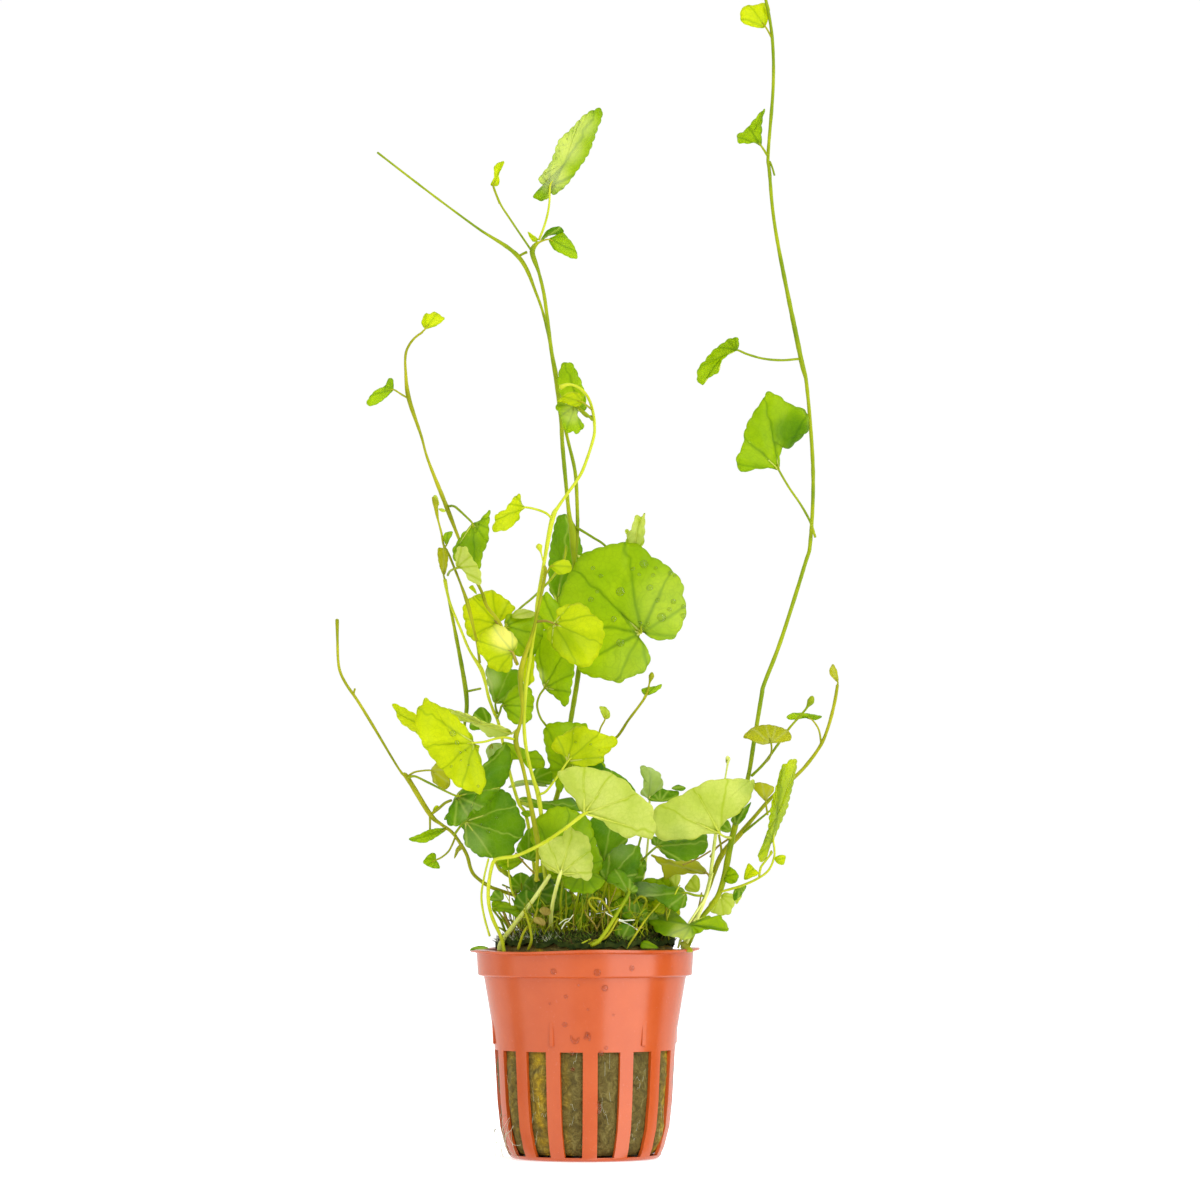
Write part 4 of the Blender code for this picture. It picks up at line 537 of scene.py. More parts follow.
         (-32.5, 94), (-30.5, 93.2), (-27.6, 92.3), (-26.4, 92.2), (-25.2, 95.3), (-25.7, 98), (-27, 103),
         (-26.9, 104.2)],
        (0.1, 0.35), "bright", "yellow", {"pitch": 3.2}),
    "leaf_outer_back": (
        [(-31.3, 109.3, 6), (-34, 109, -2), (-37, 108.6, -11), (-39.5, 108.2, -16)],
        [(-41.5, 106.8), (-44.5, 108.5), (-46, 109.5), (-47.3, 110.8), (-48.4, 113.5), (-49.2, 115),
         (-47, 114.4), (-43.1, 112.3), (-40.5, 111)],
        (-0.2, -0.3), "bright", "yellow", {}),
    "leaf_outer_edge": (
        [(-17.7, 108, -15.2), (-18.1, 107.7, -14.4), (-18.8, 107.3, -13)],
        [(-19.3, 108.4), (-21.5, 109.3), (-23.5, 109.8), (-26, 110.4), (-28, 111.5), (-30.2, 112.4),
         (-33, 113.2), (-35.2, 113.6), (-34.5, 112.4), (-32.8, 111), (-30.5, 110.7), (-28, 109.5),
         (-26, 108), (-24.5, 106.6), (-21.5, 106.5)],
        (-0.9, -3.2), "pale", "pale", {}),
    "leaf_outer_crinkled": (
        [(-44.6, 96.3, -10.2), (-43.2, 96.5, -11), (-40, 95, -14), (-36, 93, -18), (-32.6, 91.5, -20)],
        [(-35.2, 85.3), (-33, 83.8), (-30.5, 85.5), (-28.7, 88.1), (-26.2, 88.4), (-20, 95.5), (-18.9, 101),
         (-19.4, 104), (-21.6, 103.8)],
        (0.25, 0.2), "dark", "green", {"crease": 1.3, "wave": 1.3, "tones_and_painted_light": [(-29, 87, 3, 0.35)]}),
    "leaf_front_pale": (
        [(-20.6, 52.3, -13), (-21.2, 55.4, -13), (-23.5, 60.6, -14.5), (-24.5, 64.8, -17),
         (-24.4, 69.6, -20), (-23.3, 74.7, -24), (-21.5, 75.7, -26), (-17.3, 76.4, -28), (-11.1, 79.3, -32),
         (-5.6, 82.9, -34), (-0.2, 87, -35)],
        [(-1.2, 87.8), (-2, 89.5), (-3.5, 91.8), (-5, 93.2), (-6.9, 97.2), (-5.5, 98.2), (-2, 99),
         (2.7, 98.4), (5, 97.9), (7.5, 96.8), (10, 95.5), (11.6, 94), (13.3, 92), (16.5, 89.6), (17.3, 88),
         (17.4, 86), (17.9, 84), (17.2, 80.7), (15.5, 81), (13, 81.3), (10.8, 80.9), (8.5, 81.9),
         (6.2, 83.4), (4.5, 85), (2, 86.3)],
        (0.1, -0.3), "pale", "yellow", {"thick": 0.5, "stalk_end": 0.42, "pitch": 5, "rings": 12}),
    "leaf_front_dark": (
        [(-33, 82, -9), (-31.5, 84, -11), (-30.3, 85, -12)],
        [(-29, 86.3), (-27, 87.6), (-25, 90.3), (-22.5, 93), (-20.1, 92.7), (-17.9, 90.3), (-16.2, 86.3),
         (-15.1, 84.8), (-16, 81), (-17.8, 79.5), (-18, 77.2), (-19, 76.2), (-21.5, 75.7), (-24, 75.9),
         (-26.8, 76.2), (-28.5, 77.5), (-30.3, 79), (-30.8, 80.5), (-30.7, 83)],
        (0, 0.2), "dark", "green", {"tones_and_painted_light": [(-28, 80, 3.5, 0.25)], "rings": 12}),
    "leaf_front_underside": (
        [(-8.6, 57, -10), (-8.6, 61, -14), (-8.1, 64.8, -18), (-7.2, 68.6, -23), (-6.3, 71.7, -26)],
        [(-8, 72.2), (-10.5, 73.8), (-11.6, 77), (-11.8, 78.7), (-10.5, 80), (-8, 80.8), (-5.8, 81.5),
         (-4.4, 83.8), (-2.8, 83), (0.7, 81), (1.6, 77), (2, 75), (1.3, 70.3), (-1, 70.6), (-3.5, 71)],
        # Its darker patch is painted shadow, seen through the blade.
        (0.1, -0.15), "pale", "pale", {"thick": 0.55, "tones_and_painted_light": [(0, 77, 1.6, -0.35)]}),
    "leaf_front_olive": (
        [(-5.6, 57, -8), (-6.2, 65, -12), (-5, 72.5, -14)],
        [(-8, 72.6), (-11.5, 75.5), (-13.5, 79.5), (-13.8, 82.5), (-12.8, 85.5), (-10.5, 87), (-8.5, 88.5),
         (-5.5, 88.8), (-3.3, 88), (0.8, 85.8), (2.6, 80.5), (3.6, 77), (4.5, 74.8), (3.4, 71.8),
         (1.7, 70.4), (-2, 70.4)],
        (0, 0.3), "fresh", "green", {"tones_and_painted_light": [(-6, 80, 6, -0.2)]}),
    "leaf_front_lip": (
        [(-3, 57, -9), (-2, 65, -14), (-0.5, 72.2, -18)],
        [(-3.5, 72), (-5.8, 71), (-5.6, 69.5), (-4.5, 68), (-3, 67.2), (-1, 66.9), (1, 66.8), (2.6, 67.3),
         (3.8, 68.3), (5, 69.7), (3.8, 71.3), (1.5, 72)],
        (0, 1.2), "fresh", "green", {}),
    "leaf_right_pale": (
        [(36.9, 80.9, -2.6), (36.4, 81, -6), (35.6, 81.1, -9.5), (34.3, 81.9, -14)],
        [(34.3, 83.4), (35.6, 85), (37.5, 86.3), (39.5, 87.5), (41.8, 90.6), (42.4, 91.8), (43, 95.5),
         (41.5, 95.6), (38, 96), (34.5, 95.7), (32, 95.6), (28, 93.8), (24.2, 91.7), (20.5, 90), (18, 88.5),
         (17.3, 86.8), (17.6, 82.2), (20.3, 80), (22.5, 80.5), (27, 80.4), (29, 81.2), (31.3, 82)],
        (0.1, -0.3), "pale", "yellow", {
            "tones_and_painted_light": [(21, 86, 3.5, -0.12), (24, 82, 2.5, -0.3), (41.5, 94, 2.4, -0.4)],
            "pitch": 4.5,
            "rings": 12,
        }),
    "leaf_right_dark": (
        [(8, 57, -1), (11, 66, -5), (13.2, 73.4, -6.5), (15.5, 76.2, -8), (18.2, 78.6, -9)],
        [(16.8, 79.6), (17.2, 81.2), (19.6, 80.4), (25.2, 80.8), (27, 80.3), (30.5, 81.8), (31.1, 79.5),
         (30.6, 77.5), (26.8, 75.3), (21.5, 75.6)],
        (0.05, 1), "dark", "green", {}),
    "leaf_right_saddle": (
        [(31.9, 70.2, 2), (31.6, 71, 1), (31, 71.9, -0.4)],
        [(28.3, 75), (25, 75.1), (22, 75.2), (20, 75.7), (18, 76.3), (16.8, 76.5), (18, 75.2), (19.5, 73.4),
         (20.2, 70.6), (22.3, 70.9), (24.5, 71.6), (27, 71.9)],
        (-0.1, 1), "olive", "brown", {}),
    "leaf_right_olive": (
        [(29.6, 66.2, -4.6), (28, 66.3, -6.5), (25.6, 67, -9)],
        [(24.2, 68.4), (22, 68.4), (19.7, 68.9), (17.5, 69.2), (15, 69.6), (13, 69.9), (12.7, 67.8),
         (13.5, 66), (15.5, 66), (17.2, 65.9), (19, 64.6), (21, 63.2), (22.8, 62.2), (24, 62.8),
         (25.3, 63.5), (25.9, 65)],
        (0.1, 0.6), "dark", "green", {"tones_and_painted_light": [(15, 68, 4, 0.3)]}),
    "leaf_rim_saddle": (
        [(23.6, 50.5, -8), (25.4, 54, -8.2), (27.4, 57.2, -9), (28.2, 58.5, -10.6), (27, 58.7, -11.5)],
        [(24.2, 60), (22.5, 62.2), (20.5, 62.5), (18.5, 62.5), (16.6, 62.4), (15.6, 60.4), (17, 58.8),
         (18, 57.3), (19.5, 56.5), (21, 56), (23, 55.8), (25, 55.1), (26.5, 55.4), (28, 56.4), (29.5, 57.1),
         (31, 57.7), (33, 58), (35.3, 57.2), (36.5, 57.9), (35.2, 60), (34.2, 61.2), (32.3, 60.5),
         (31.3, 61.3), (30, 60.6)],
        (0, 2.2), "fresh", "pale", {
            # Its darker patch at the top left is painted shadow inside the blade.
            "tones_and_painted_light": [(20, 60.5, 4, -0.3), (24, 56, 3, 0.6)],
            "folds": [(22.6, 60.2, 60, -0.7)],
        }),
    "leaf_base_shiny": (
        [(2, 53.8, -24.6), (3.4, 54.6, -24), (4.8, 56.4, -22.8), (6.4, 58.8, -21.5), (8.7, 62.6, -19.5),
         (11.2, 67, -18)],
        [(12.8, 66.8), (13.4, 68), (12, 69.5), (10.5, 71.5), (8.3, 73), (6.5, 72.2), (5.4, 70), (7.3, 69),
         (9.3, 67.6)],
        (0.1, 0.3), "dark", "green", {"thick": 0.55}),
    "leaf_base_dark": (
        [(2, 57, -5), (4, 64, -9), (5.6, 69.8, -12)],
        [(3.8, 71.5), (4.6, 75), (6.5, 77.5), (8.8, 79), (11, 79.2), (13.5, 78.8), (14.2, 77.3), (13.8, 75),
         (13.3, 72), (12, 69.9), (9, 69.5)],
        (0, 0.2), "dark", "green", {"tones_and_painted_light": [(9, 78, 3, 0.25)]}),
    "leaf_right_hanging": (
        [(34.2, 65.8, 1.2), (34.3, 66.3, 3)],
        [(33, 66), (31.8, 64.6), (31.3, 62.9), (32.5, 61.9), (34, 61.3), (36.5, 61.5), (37.4, 63),
         (38, 64.8), (37.5, 66.5), (35.8, 67)],
        (0.3, -0.4), "pale", "pale", {}),
    "leaf_right_upright": (
        [(35.2, 67.4, -2.1), (39.9, 68.8, -5), (44.1, 70.7, -7), (46.7, 72.8, -8.5), (48, 75.9, -9.5),
         (48.1, 78, -9.8), (47.8, 80.3, -10)],
        [(46.8, 78.5), (45.8, 75.5), (44.5, 74.9), (44, 76.3), (45, 78.5), (45.7, 80.8), (46.5, 83),
         (46.8, 85.5), (47, 87.5), (47.9, 91.7), (49, 95.2), (50, 99), (51.3, 99.9), (52.5, 100.9),
         (53.5, 100.8), (53.8, 99.6), (53, 95.5), (51.8, 90.5), (51.3, 88.3), (49.3, 83.8), (48.5, 81.8)],
        (2.6, -0.9), "bright", "yellow", {"pitch": 2.0, "scallop": 0.42, "tones_and_painted_light": [(48, 88, 12, -0.35)]}),
    "leaf_base_left": (
        [(-20.2, 57, -7), (-21.4, 60, -9), (-23.5, 63, -11)],
        [(-23.5, 64.9), (-21.5, 65), (-19.5, 64.3), (-17.5, 63.3), (-16, 62), (-15.6, 61), (-17, 60.7),
         (-18.5, 61.6), (-20.3, 62.2), (-22.3, 62.2)],
        (0.2, 0.8), "fresh", "green", {}),
}

# Small leaves without a node, as their side of the plant, stalk, outline, slope and look.
LITTLE_LEAVES = [
    ("high",
     [(-12, 233.4, 0)],
     [(-12.6, 234.2), (-14.7, 235.5), (-13.4, 233)],
     (0.3, 0.3), "bright"),
    ("high",
     [(-11.4, 233.2, 0.6)],
     [(-9.8, 234.4), (-5.6, 235.3), (-6.6, 236.9), (-9.6, 236)],
     (0.2, -0.5), "dark"),
    ("high",
     [(-38.1, 165.2, -2.3)],
     [(-39, 166.7), (-38.4, 168.2), (-37.6, 167.6), (-37.2, 165.7)],
     (0.2, 0.2), "pale"),
    ("high",
     [(-37.4, 164.6, -2)],
     [(-36.2, 164.7), (-35.5, 163.9), (-36.5, 163.8)],
     (0.2, 0.2), "pale"),
    ("high",
     [(11.4, 157.6, 15)],
     [(10.3, 158.3), (10.2, 159.2), (11, 159.4)],
     (0.2, 0.2), "pale"),
    ("left",
     [(-27.6, 142.8, -3.6)],
     [(-28.6, 143.6), (-29.6, 144.6), (-28.6, 145.1), (-27.8, 143.8)],
     (0.2, 0.2), "bright"),
    ("left",
     [(-28, 142.3, -4)],
     [(-26.7, 143), (-25.4, 142), (-26.6, 141)],
     (0.2, 0.5), "bright"),
    ("left",
     [(-18.6, 137, -6.8)],
     [(-17.8, 138.6), (-16, 139.1), (-14.3, 138.8), (-12.7, 138.1), (-13.5, 137), (-16.5, 136.6)],
     (0.2, 0.7), "pale"),
    ("left",
     [(-14.2, 129.4, -5)],
     [(-15.4, 126), (-15.9, 122), (-15.2, 119.3), (-13.9, 119.9), (-12.9, 120.9), (-13.2, 122.5),
      (-12.9, 125), (-13, 129)],
     (0.1, 0.1), "bright"),
    ("left",
     [(-7, 133.8, 8)],
     [(-10.6, 134), (-12.4, 136.8), (-11.8, 140), (-10, 143.4), (-8.3, 142), (-6.5, 140), (-5.6, 137)],
     (0.1, 0.2), "fresh"),
    ("left",
     [(-24, 98.6, -8.6), (-24.4, 102, -9.2), (-23.8, 104.8, -9)],
     [(-25.2, 103.2), (-24.6, 101), (-23.6, 99.3), (-22.4, 100.5), (-21.4, 102.6), (-21.4, 104.8)],
     (0.1, 0.2), "grey"),
    ("left",
     [(-16, 101, 0)],
     [(-16, 102.9), (-14, 102.8), (-12.5, 103.1), (-11.3, 102), (-10.3, 100.5), (-10.4, 98.8), (-12, 98.5),
      (-14.5, 98.6)],
     (0.1, 0.2), "fresh"),
    ("left",
     [(-13.3, 95.5, 6)],
     [(-13, 98), (-11.6, 98.8), (-9.5, 98.5), (-8.3, 99), (-8.3, 95), (-10.2, 94.3), (-12, 94.8)],
     (0.1, 0.2), "dark"),
    ("left",
     [(-19.5, 93.6, 3)],
     [(-17, 95.4), (-12, 95.3), (-9.5, 93.9), (-12, 94.4), (-17, 94.4)],
     (0, 2.5), "grey"),
    ("left",
     [(-21, 104.8, -4)],
     [(-17.8, 104.5), (-15, 103), (-14.8, 101), (-18.8, 100.5), (-19.5, 98)],
     (0.1, 0.2), "fresh"),
    ("left",
     [(-24.6, 109.4, 4)],
     [(-27, 108.3), (-29.3, 108.6), (-28.8, 111.5), (-27.4, 113.6), (-25.8, 114), (-23.8, 111.6)],
     (0.2, 0.2), "dark"),
    ("left",
     [(-26, 84, 2)],
     [(-29, 82), (-32.4, 84.6), (-34, 88), (-33, 91.4), (-30.4, 94), (-27.6, 95), (-25.4, 92), (-24.6, 88)],
     (0.1, 0.2), "dark"),
    ("left",
     [(-33.3, 86.2, -2)],
     [(-35.8, 85.5), (-34.8, 87.3), (-33.5, 88.4)],
     (0.1, 0.3), "dark"),
    ("left",
     [(-30.9, 79.1, -6.6)],
     [(-31.4, 79.5), (-32.7, 78.2), (-33.2, 75.6), (-32.3, 77.2), (-31.4, 77.9)],
     (0.2, 0.2), "olive"),
    ("left",
     [(-38.7, 87.6, -9.6)],
     [(-38.2, 88.9), (-37.4, 89.1), (-36.8, 88.3), (-37.7, 87.6)],
     (0.2, 0.2), "bright"),
    ("left",
     [(-14.3, 75.2, -5)],
     [(-16.2, 76), (-17.4, 77.5), (-17.1, 79), (-15.6, 81.5), (-14.3, 83.3), (-13, 81), (-11.6, 78.5),
      (-11.3, 76.5), (-12.5, 75)],
     (0.1, 0.2), "dark"),
    ("left",
     [(-17, 90.4, 2)],
     [(-15.5, 91.3), (-12, 90.3), (-8.5, 90.2), (-5, 90.7), (-3.2, 91), (-1.2, 87.6), (-6, 88.8), (-9, 88),
      (-12, 88.4), (-16, 89.2)],
     (0.1, 1.6), "dark"),
    ("left",
     [(-16.6, 90.1, 1)],
     [(-14.6, 88.5), (-13, 88.9), (-14, 89.6)],
     (0.2, 0.6), "pale"),
    ("left",
     [(-15.6, 75.4, -6)],
     [(-17.8, 73.3), (-20.2, 72.7), (-22.4, 74.9), (-19, 76)],
     (0.1, 0.6), "fresh"),
    ("left",
     [(-16.3, 87.2, 0)],
     [(-14.5, 87.9), (-13.4, 86.9), (-14.8, 86.1)],
     (0.2, 0.4), "fresh"),
    ("left",
     [(-21, 65, -9)],
     [(-24.1, 65), (-23.7, 66.5), (-22.8, 67.6), (-21.5, 67.3), (-20.7, 66.5)],
     (0.2, 0.3), "dark"),
    ("centre",
     [(4, 88, 0)],
     [(-1, 91), (-1.5, 95), (0.5, 99), (3.3, 101), (4.3, 99.5), (5.5, 98.6), (8, 97.4), (11, 95.2),
      (13, 92), (12, 88), (8, 86.6)],
     (0.1, 0.2), "dark"),
    ("centre",
     [(19, 90, -3)],
     [(16.2, 90.5), (18, 92.3), (19.5, 93.3), (21, 93), (23.8, 92.6), (23.3, 91), (21, 90.2)],
     (0.1, 0.3), "dark"),
    ("centre",
     [(22, 93.3, -3)],
     [(22.8, 94.1), (24, 94.3), (25.6, 93.5), (24.5, 92.8)],
     (0.2, 0.8), "dark"),
    ("centre",
     [(4.8, 75, -4)],
     [(3, 79), (1, 83), (1.5, 85.6), (3, 86.5), (5, 85.8), (8, 84.4), (10.5, 82), (10.8, 80), (10, 79),
      (8, 77.4)],
     (0.1, 0.2), "dark"),
    ("centre",
     [(5.6, 66, -8)],
     [(5.3, 68.3), (6, 69.5), (8, 68.7), (9.5, 67.3), (8.8, 65.2), (6.8, 64.6)],
     (0.1, 0.3), "bright"),
    ("centre",
     [(15.4, 61.6, -6)],
     [(12.2, 62.4), (11.8, 64.2), (14.2, 66), (16, 64.4), (17.3, 62.5)],
     (0.1, 0.3), "bright"),
    ("centre",
     [(10.3, 59.2, -12)],
     [(8.2, 60.5), (9.5, 61.9), (11, 62.1), (13.3, 60.3)],
     (0.1, 0.5), "dark"),
    ("centre",
     [(9, 54.5, -18.5)],
     [(7.5, 57), (9.5, 59.2), (12.5, 57.9), (12.2, 55.2)],
     (0.1, 0.3), "dark"),
    ("centre",
     [(18.6, 53, -19)],
     [(16.6, 52.9), (14.2, 53), (14.3, 54.4), (15.4, 54.9), (16.8, 54.3)],
     (0.1, 0.9), "fresh"),
    ("centre",
     [(-10.6, 58.6, -18)],
     [(-13, 59.6), (-12.6, 60.8), (-10.6, 60.3), (-10, 59.2)],
     (0.1, 0.5), "tan"),
    ("centre",
     [(-10.2, 61.2, -17)],
     [(-11.6, 62.4), (-10.6, 63.4), (-9, 62.8), (-8.8, 61.6)],
     (0.1, 0.5), "tan"),
    ("right",
     [(23, 68.4, -2)],
     [(21.4, 70.3), (22.6, 71.4), (24.1, 71.5), (24.1, 69.8)],
     (0.1, 0.2), "pale"),
    ("right",
     [(28.8, 67.3, 3)],
     [(26.6, 67.2), (25.3, 68), (26.3, 69.8), (27.7, 71.5), (28.7, 71), (29.2, 69.3)],
     (0.1, 0.3), "pale"),
    ("right",
     [(40.5, 70.2, -5)],
     [(40.5, 72), (41.5, 74.4), (42.8, 73.3), (44.1, 71.8), (42.5, 70.9)],
     (0.1, 0.3), "bright"),
    ("right",
     [(39.2, 68.5, -3)],
     [(37.7, 67.4), (37.8, 65), (39.6, 66.3), (41, 68.7)],
     (0.1, 0.3), "dark"),
    ("right",
     [(38.6, 67.2, 0)],
     [(37.7, 66.8), (38.2, 64.2), (38.9, 64.5), (39.9, 66.5)],
     (0.1, 0.3), "pale"),
    ("right",
     [(48.2, 75.2, -9.6)],
     [(48.3, 76), (49.5, 76.5), (50.9, 76.3), (50.4, 74.1), (49, 74.3)],
     (0.2, 0.3), "bright"),
    ("right",
     [(38.3, 84, -1)],
     [(37, 85.4), (38.5, 87), (41.5, 89.4), (42.2, 89.9), (40.8, 86.3), (39.4, 84.6)],
     (0.1, 0.3), "dark"),
    ("right",
     [(36.9, 82.4, -2)],
     [(35.4, 82.3), (34.3, 83.2), (36, 85.4), (37, 84)],
     (0.1, 0.3), "dark"),
    ("right",
     [(24.6, 53.2, -13.6)],
     [(24, 54.2), (25.2, 54.6), (26.6, 53.4), (27.4, 52.2), (26, 51.9)],
     (0.1, 0.6), "olive"),
    ("left",
     [(-24.4, 52.9, -15)],
     [(-26, 53.5), (-28, 53.3), (-29.4, 52.4), (-28, 52.6), (-26, 52.7)],
     (0.1, 0.6), "dark"),
]

# Loose stalks and threads, as their start and end radius, look and points; a point may have its own radius.
STRANDS = [
    (0.5, 0.45, "green", [(-1.9, 162.4, 17.2), (-2, 157, 17.6), (-2.6, 151, 18.2)]),
    (0.3, 0.3, "green", [(14.3, 81.4, -8), (13.9, 80, -8.4), (13.5, 78.4, -9)]),
    (0.32, 0.25, "yellow",
     [(44.2, 71, -7), (44.6, 73.3, -8), (45.8, 75, -8.6), (46.9, 76.4, -9), (47.3, 77.2, -9, 0.5),
      (47.3, 77.7, -9, 0.2)]),
    (0.36, 0.32, "olive",
     [(-17, 52.6, -17), (-16.2, 55.2, -18), (-15.3, 57.4, -18), (-13.1, 60, -16), (-12, 63, -14)]),
    (0.36, 0.3, "olive", [(-14.4, 52.6, -19), (-13.6, 55.1, -20), (-14.2, 59, -18), (-15.5, 62.6, -15)]),
    (0.22, 0.2, "yellow", [(-2.6, 52.9, -22), (-1, 54, -22.4), (1.4, 55.2, -22)]),
    (0.32, 0.28, "olive",
     [(3, 62, -14), (1.2, 64, -15), (1.4, 65.6, -15.5), (4, 65.2, -15), (6, 62.6, -14), (7.2, 60, -13)]),
    (0.34, 0.3, "olive",
     [(11, 61, -11), (12.2, 64, -11.4), (14, 66, -12), (15.5, 65, -11.6), (14.6, 62.6, -11),
      (13.5, 60.6, -10)]),
    (0.16, 0.12, "white", [(-6, 57.8, -17), (-5, 59.4, -17.6), (-4.2, 59.8, -18), (-3, 61.4, -18)]),
    (0.14, 0.1, "white", [(-6.6, 59, -16), (-5, 60.2, -17), (-3.6, 60.4, -17.4)]),
    (0.3, 0.26, "yellow",
     [(-24.2, 56, -10), (-25.6, 61, -11), (-26.3, 66, -11.6), (-25.6, 71, -12.4), (-24.5, 75.6, -13.4)]),
    (0.3, 0.25, "green", [(-17.4, 54, -9), (-19.5, 58, -9.6), (-22, 62.4, -10.4)]),
    (0.3, 0.26, "yellow", [(-16, 63.4, -6), (-18.4, 67, -6.6), (-19.2, 71, -7), (-19.6, 75.4, -8)]),
    (0.24, 0.2, "green", [(-21, 69, -2), (-16, 67, 0), (-11.5, 66.8, 2)]),
    (0.26, 0.22, "brown", [(-17.6, 77, -8), (-15, 74, -10), (-12.6, 71.6, -12), (-11.6, 70, -13)]),
    (0.28, 0.24, "olive", [(10.5, 52.8, -20), (12.6, 56, -19), (15.6, 60.4, -16), (19, 64.4, -12)]),
    (0.34, 0.3, "olive", [(-0.5, 52.9, -22), (2, 54.6, -22.6), (5.4, 55.8, -22), (8.4, 60.5, -20)]),
    (0.3, 0.26, "brown", [(31.8, 76, 3), (33.4, 78.4, 4), (36.4, 80.6, 4.4)]),
    (0.24, 0.22, "brown", [(24.8, 74, 0), (28.6, 75.6, 1), (31.9, 77.6, 1.4)]),
    (0.3, 0.26, "pale", [(23.6, 53, -9), (25, 57, -8), (28.4, 62.4, -6), (30.6, 66, -5), (32.4, 72, -4.6)]),
    (0.3, 0.26, "pale", [(24.4, 53, -6), (26.6, 58, -5), (30, 64, -3), (31.6, 70, -2.4)]),
    (0.22, 0.2, "brown", [(24, 54, -4), (26, 58.4, -3), (28.4, 62, -2), (29.6, 67, -1)]),
]


def seen(x, z, depth):
    """The point at this depth, in metres, on the line of sight that crosses the axis plane at x, z."""
    reach = 1.0 + depth / -EYE.y
    return Vector((EYE.x + (x - EYE.x) * reach, depth, EYE.z + (z - EYE.z) * reach)) * MM


def spline(points, step, closed=False):
    """Points about this far apart on a Catmull-Rom curve through the given ones, whatever their size."""
    count = len(points)
    result = []
    for index in range(count if closed else count - 1):
        if closed:
            quad = [points[(index + offset) % count] for offset in (-1, 0, 1, 2)]
        else:
            quad = [points[min(max(index + offset, 0), count - 1)] for offset in (-1, 0, 1, 2)]
        parts = max(1, math.ceil(math.dist(quad[1][:2], quad[2][:2]) / step))
        for part in range(parts):
            t = part / parts
            result.append(tuple(
                b + 0.5 * t * ((c - a) + t * ((2 * a - 5 * b + 4 * c - d) + t * (3 * b - a - 3 * c + d)))
                for a, b, c, d in zip(*quad)
            ))
    if not closed:
        result.append(tuple(points[-1]))
    return result


def new_piece(name, mesh, nodes):
    """A piece of the plant, on the root body, standing for these nodes of the frame."""
    item = bpy.data.objects.new(name, mesh)
    bpy.context.scene.collection.objects.link(item)
    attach(item, "root")
    if nodes:
        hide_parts(*nodes)
    return item


def finished(name, shape, materials):
    """The mesh of a built shape, with its materials."""
    mesh = bpy.data.meshes.new(name)
    shape.to_mesh(mesh)
    shape.free()
    for material in materials:
        mesh.materials.append(material)
    return mesh


def with_radii(points, start, end):
    """The points of a stalk with a radius each: their own, or one between the stalk's start and end."""
    last = max(1, len(points) - 1)
    return [
        (*point[:3], point[3] if len(point) > 3 else start + (end - start) * index / last)
        for index, point in enumerate(points)
    ]


def ring(shape, centre, across, beside, radius, sides):
    """A ring of points around a centre, in the plane of two directions."""
    points = []
    for side in range(sides):
        turn = side * math.tau / sides
        points.append(shape.verts.new(centre + (across * math.cos(turn) + beside * math.sin(turn)) * radius))
    return points


def bridge(shape, rings):
    """The faces between each ring of points and the next."""
    faces = []
    for low, high in zip(rings, rings[1:]):
        for side in range(len(low)):
            after = (side + 1) % len(low)
            faces.append(shape.faces.new((low[side], low[after], high[after], high[side])))
    return faces


def fan(shape, points, heart):
    """The faces between a ring of points and one point."""
    return [shape.faces.new((first, second, heart)) for first, second in zip(points, points[1:] + points[:1])]


def polish(faces, slot=0):
    """Shade faces smooth, in this material slot."""
    for face in faces:
        face.material_index = slot
        face.smooth = True


def sweep(shape, centres, radii, sides, slot):
    """Skin a round, closed stalk over centres in metres, with a radius in millimetres at each."""
    last = len(centres) - 1
    across = Vector((0.36, -0.8, 0.48))
    rings = []
    for index, (centre, radius) in enumerate(zip(centres, radii)):
        along = (centres[min(index + 1, last)] - centres[max(index - 1, 0)]).normalized()
        across = (across - along * across.dot(along)).normalized()
        rings.append(ring(shape, centre, across, along.cross(across), radius * MM, sides))
    foot = shape.verts.new(centres[0] + (centres[0] - centres[1]).normalized() * radii[0] * 0.5 * MM)
    tip = shape.verts.new(centres[-1] + (centres[-1] - centres[-2]).normalized() * radii[-1] * 0.5 * MM)
    polish(bridge(shape, rings) + fan(shape, rings[0][::-1], foot) + fan(shape, rings[-1], tip), slot)


def add_tube(shape, points, start, end, sides=10, step=0.8, slot=0):
    """Sweep a round, tapering, closed stalk through points given as seen from the front."""
    knots = spline(with_radii(points, start, end), step)
    centres = [seen(*knot[:3]) for knot in knots]
    swells = [1.0 + 0.12 * noise.noise(centre * 500.0) for centre in centres]
    sweep(shape, centres, [max(0.05, knot[3]) * swell for knot, swell in zip(knots, swells)], sides, slot)


def inside_centre(base, outline):
    """A point inside the outline that the leaf's rings can close on."""
    x = sum(point[0] for point in outline) / len(outline)
    z = sum(point[1] for point in outline) / len(outline)
    return 0.2 * base[0] + 0.8 * x, 0.2 * base[1] + 0.8 * z


def scalloped(rim, base, pitch, scallop):
    """The rim with shallow rounded teeth, which die out beside the leaf's base."""
    count = len(rim)
    result = []
    along = 0.0
    total = sum(math.dist(a, b) for a, b in zip(rim, rim[1:] + rim[:1]))
    waves = max(3, round(total / pitch))
    for index, (x, z) in enumerate(rim):
        before, after = rim[index - 1], rim[(index + 1) % count]
        run = Vector((after[0] - before[0], after[1] - before[1]))
        out = Vector((-run.y, run.x)).normalized() if run.length > 1e-6 else Vector((0.0, 0.0))
        share = along / total * waves
        tooth = abs(math.sin(math.pi * share)) ** 0.7 - 0.62
        fade = min(1.0, math.dist((x, z), base) / 3.0)
        result.append((x - out.x * tooth * scallop * fade, z - out.y * tooth * scallop * fade))
        along += math.dist((x, z), after)
    return result


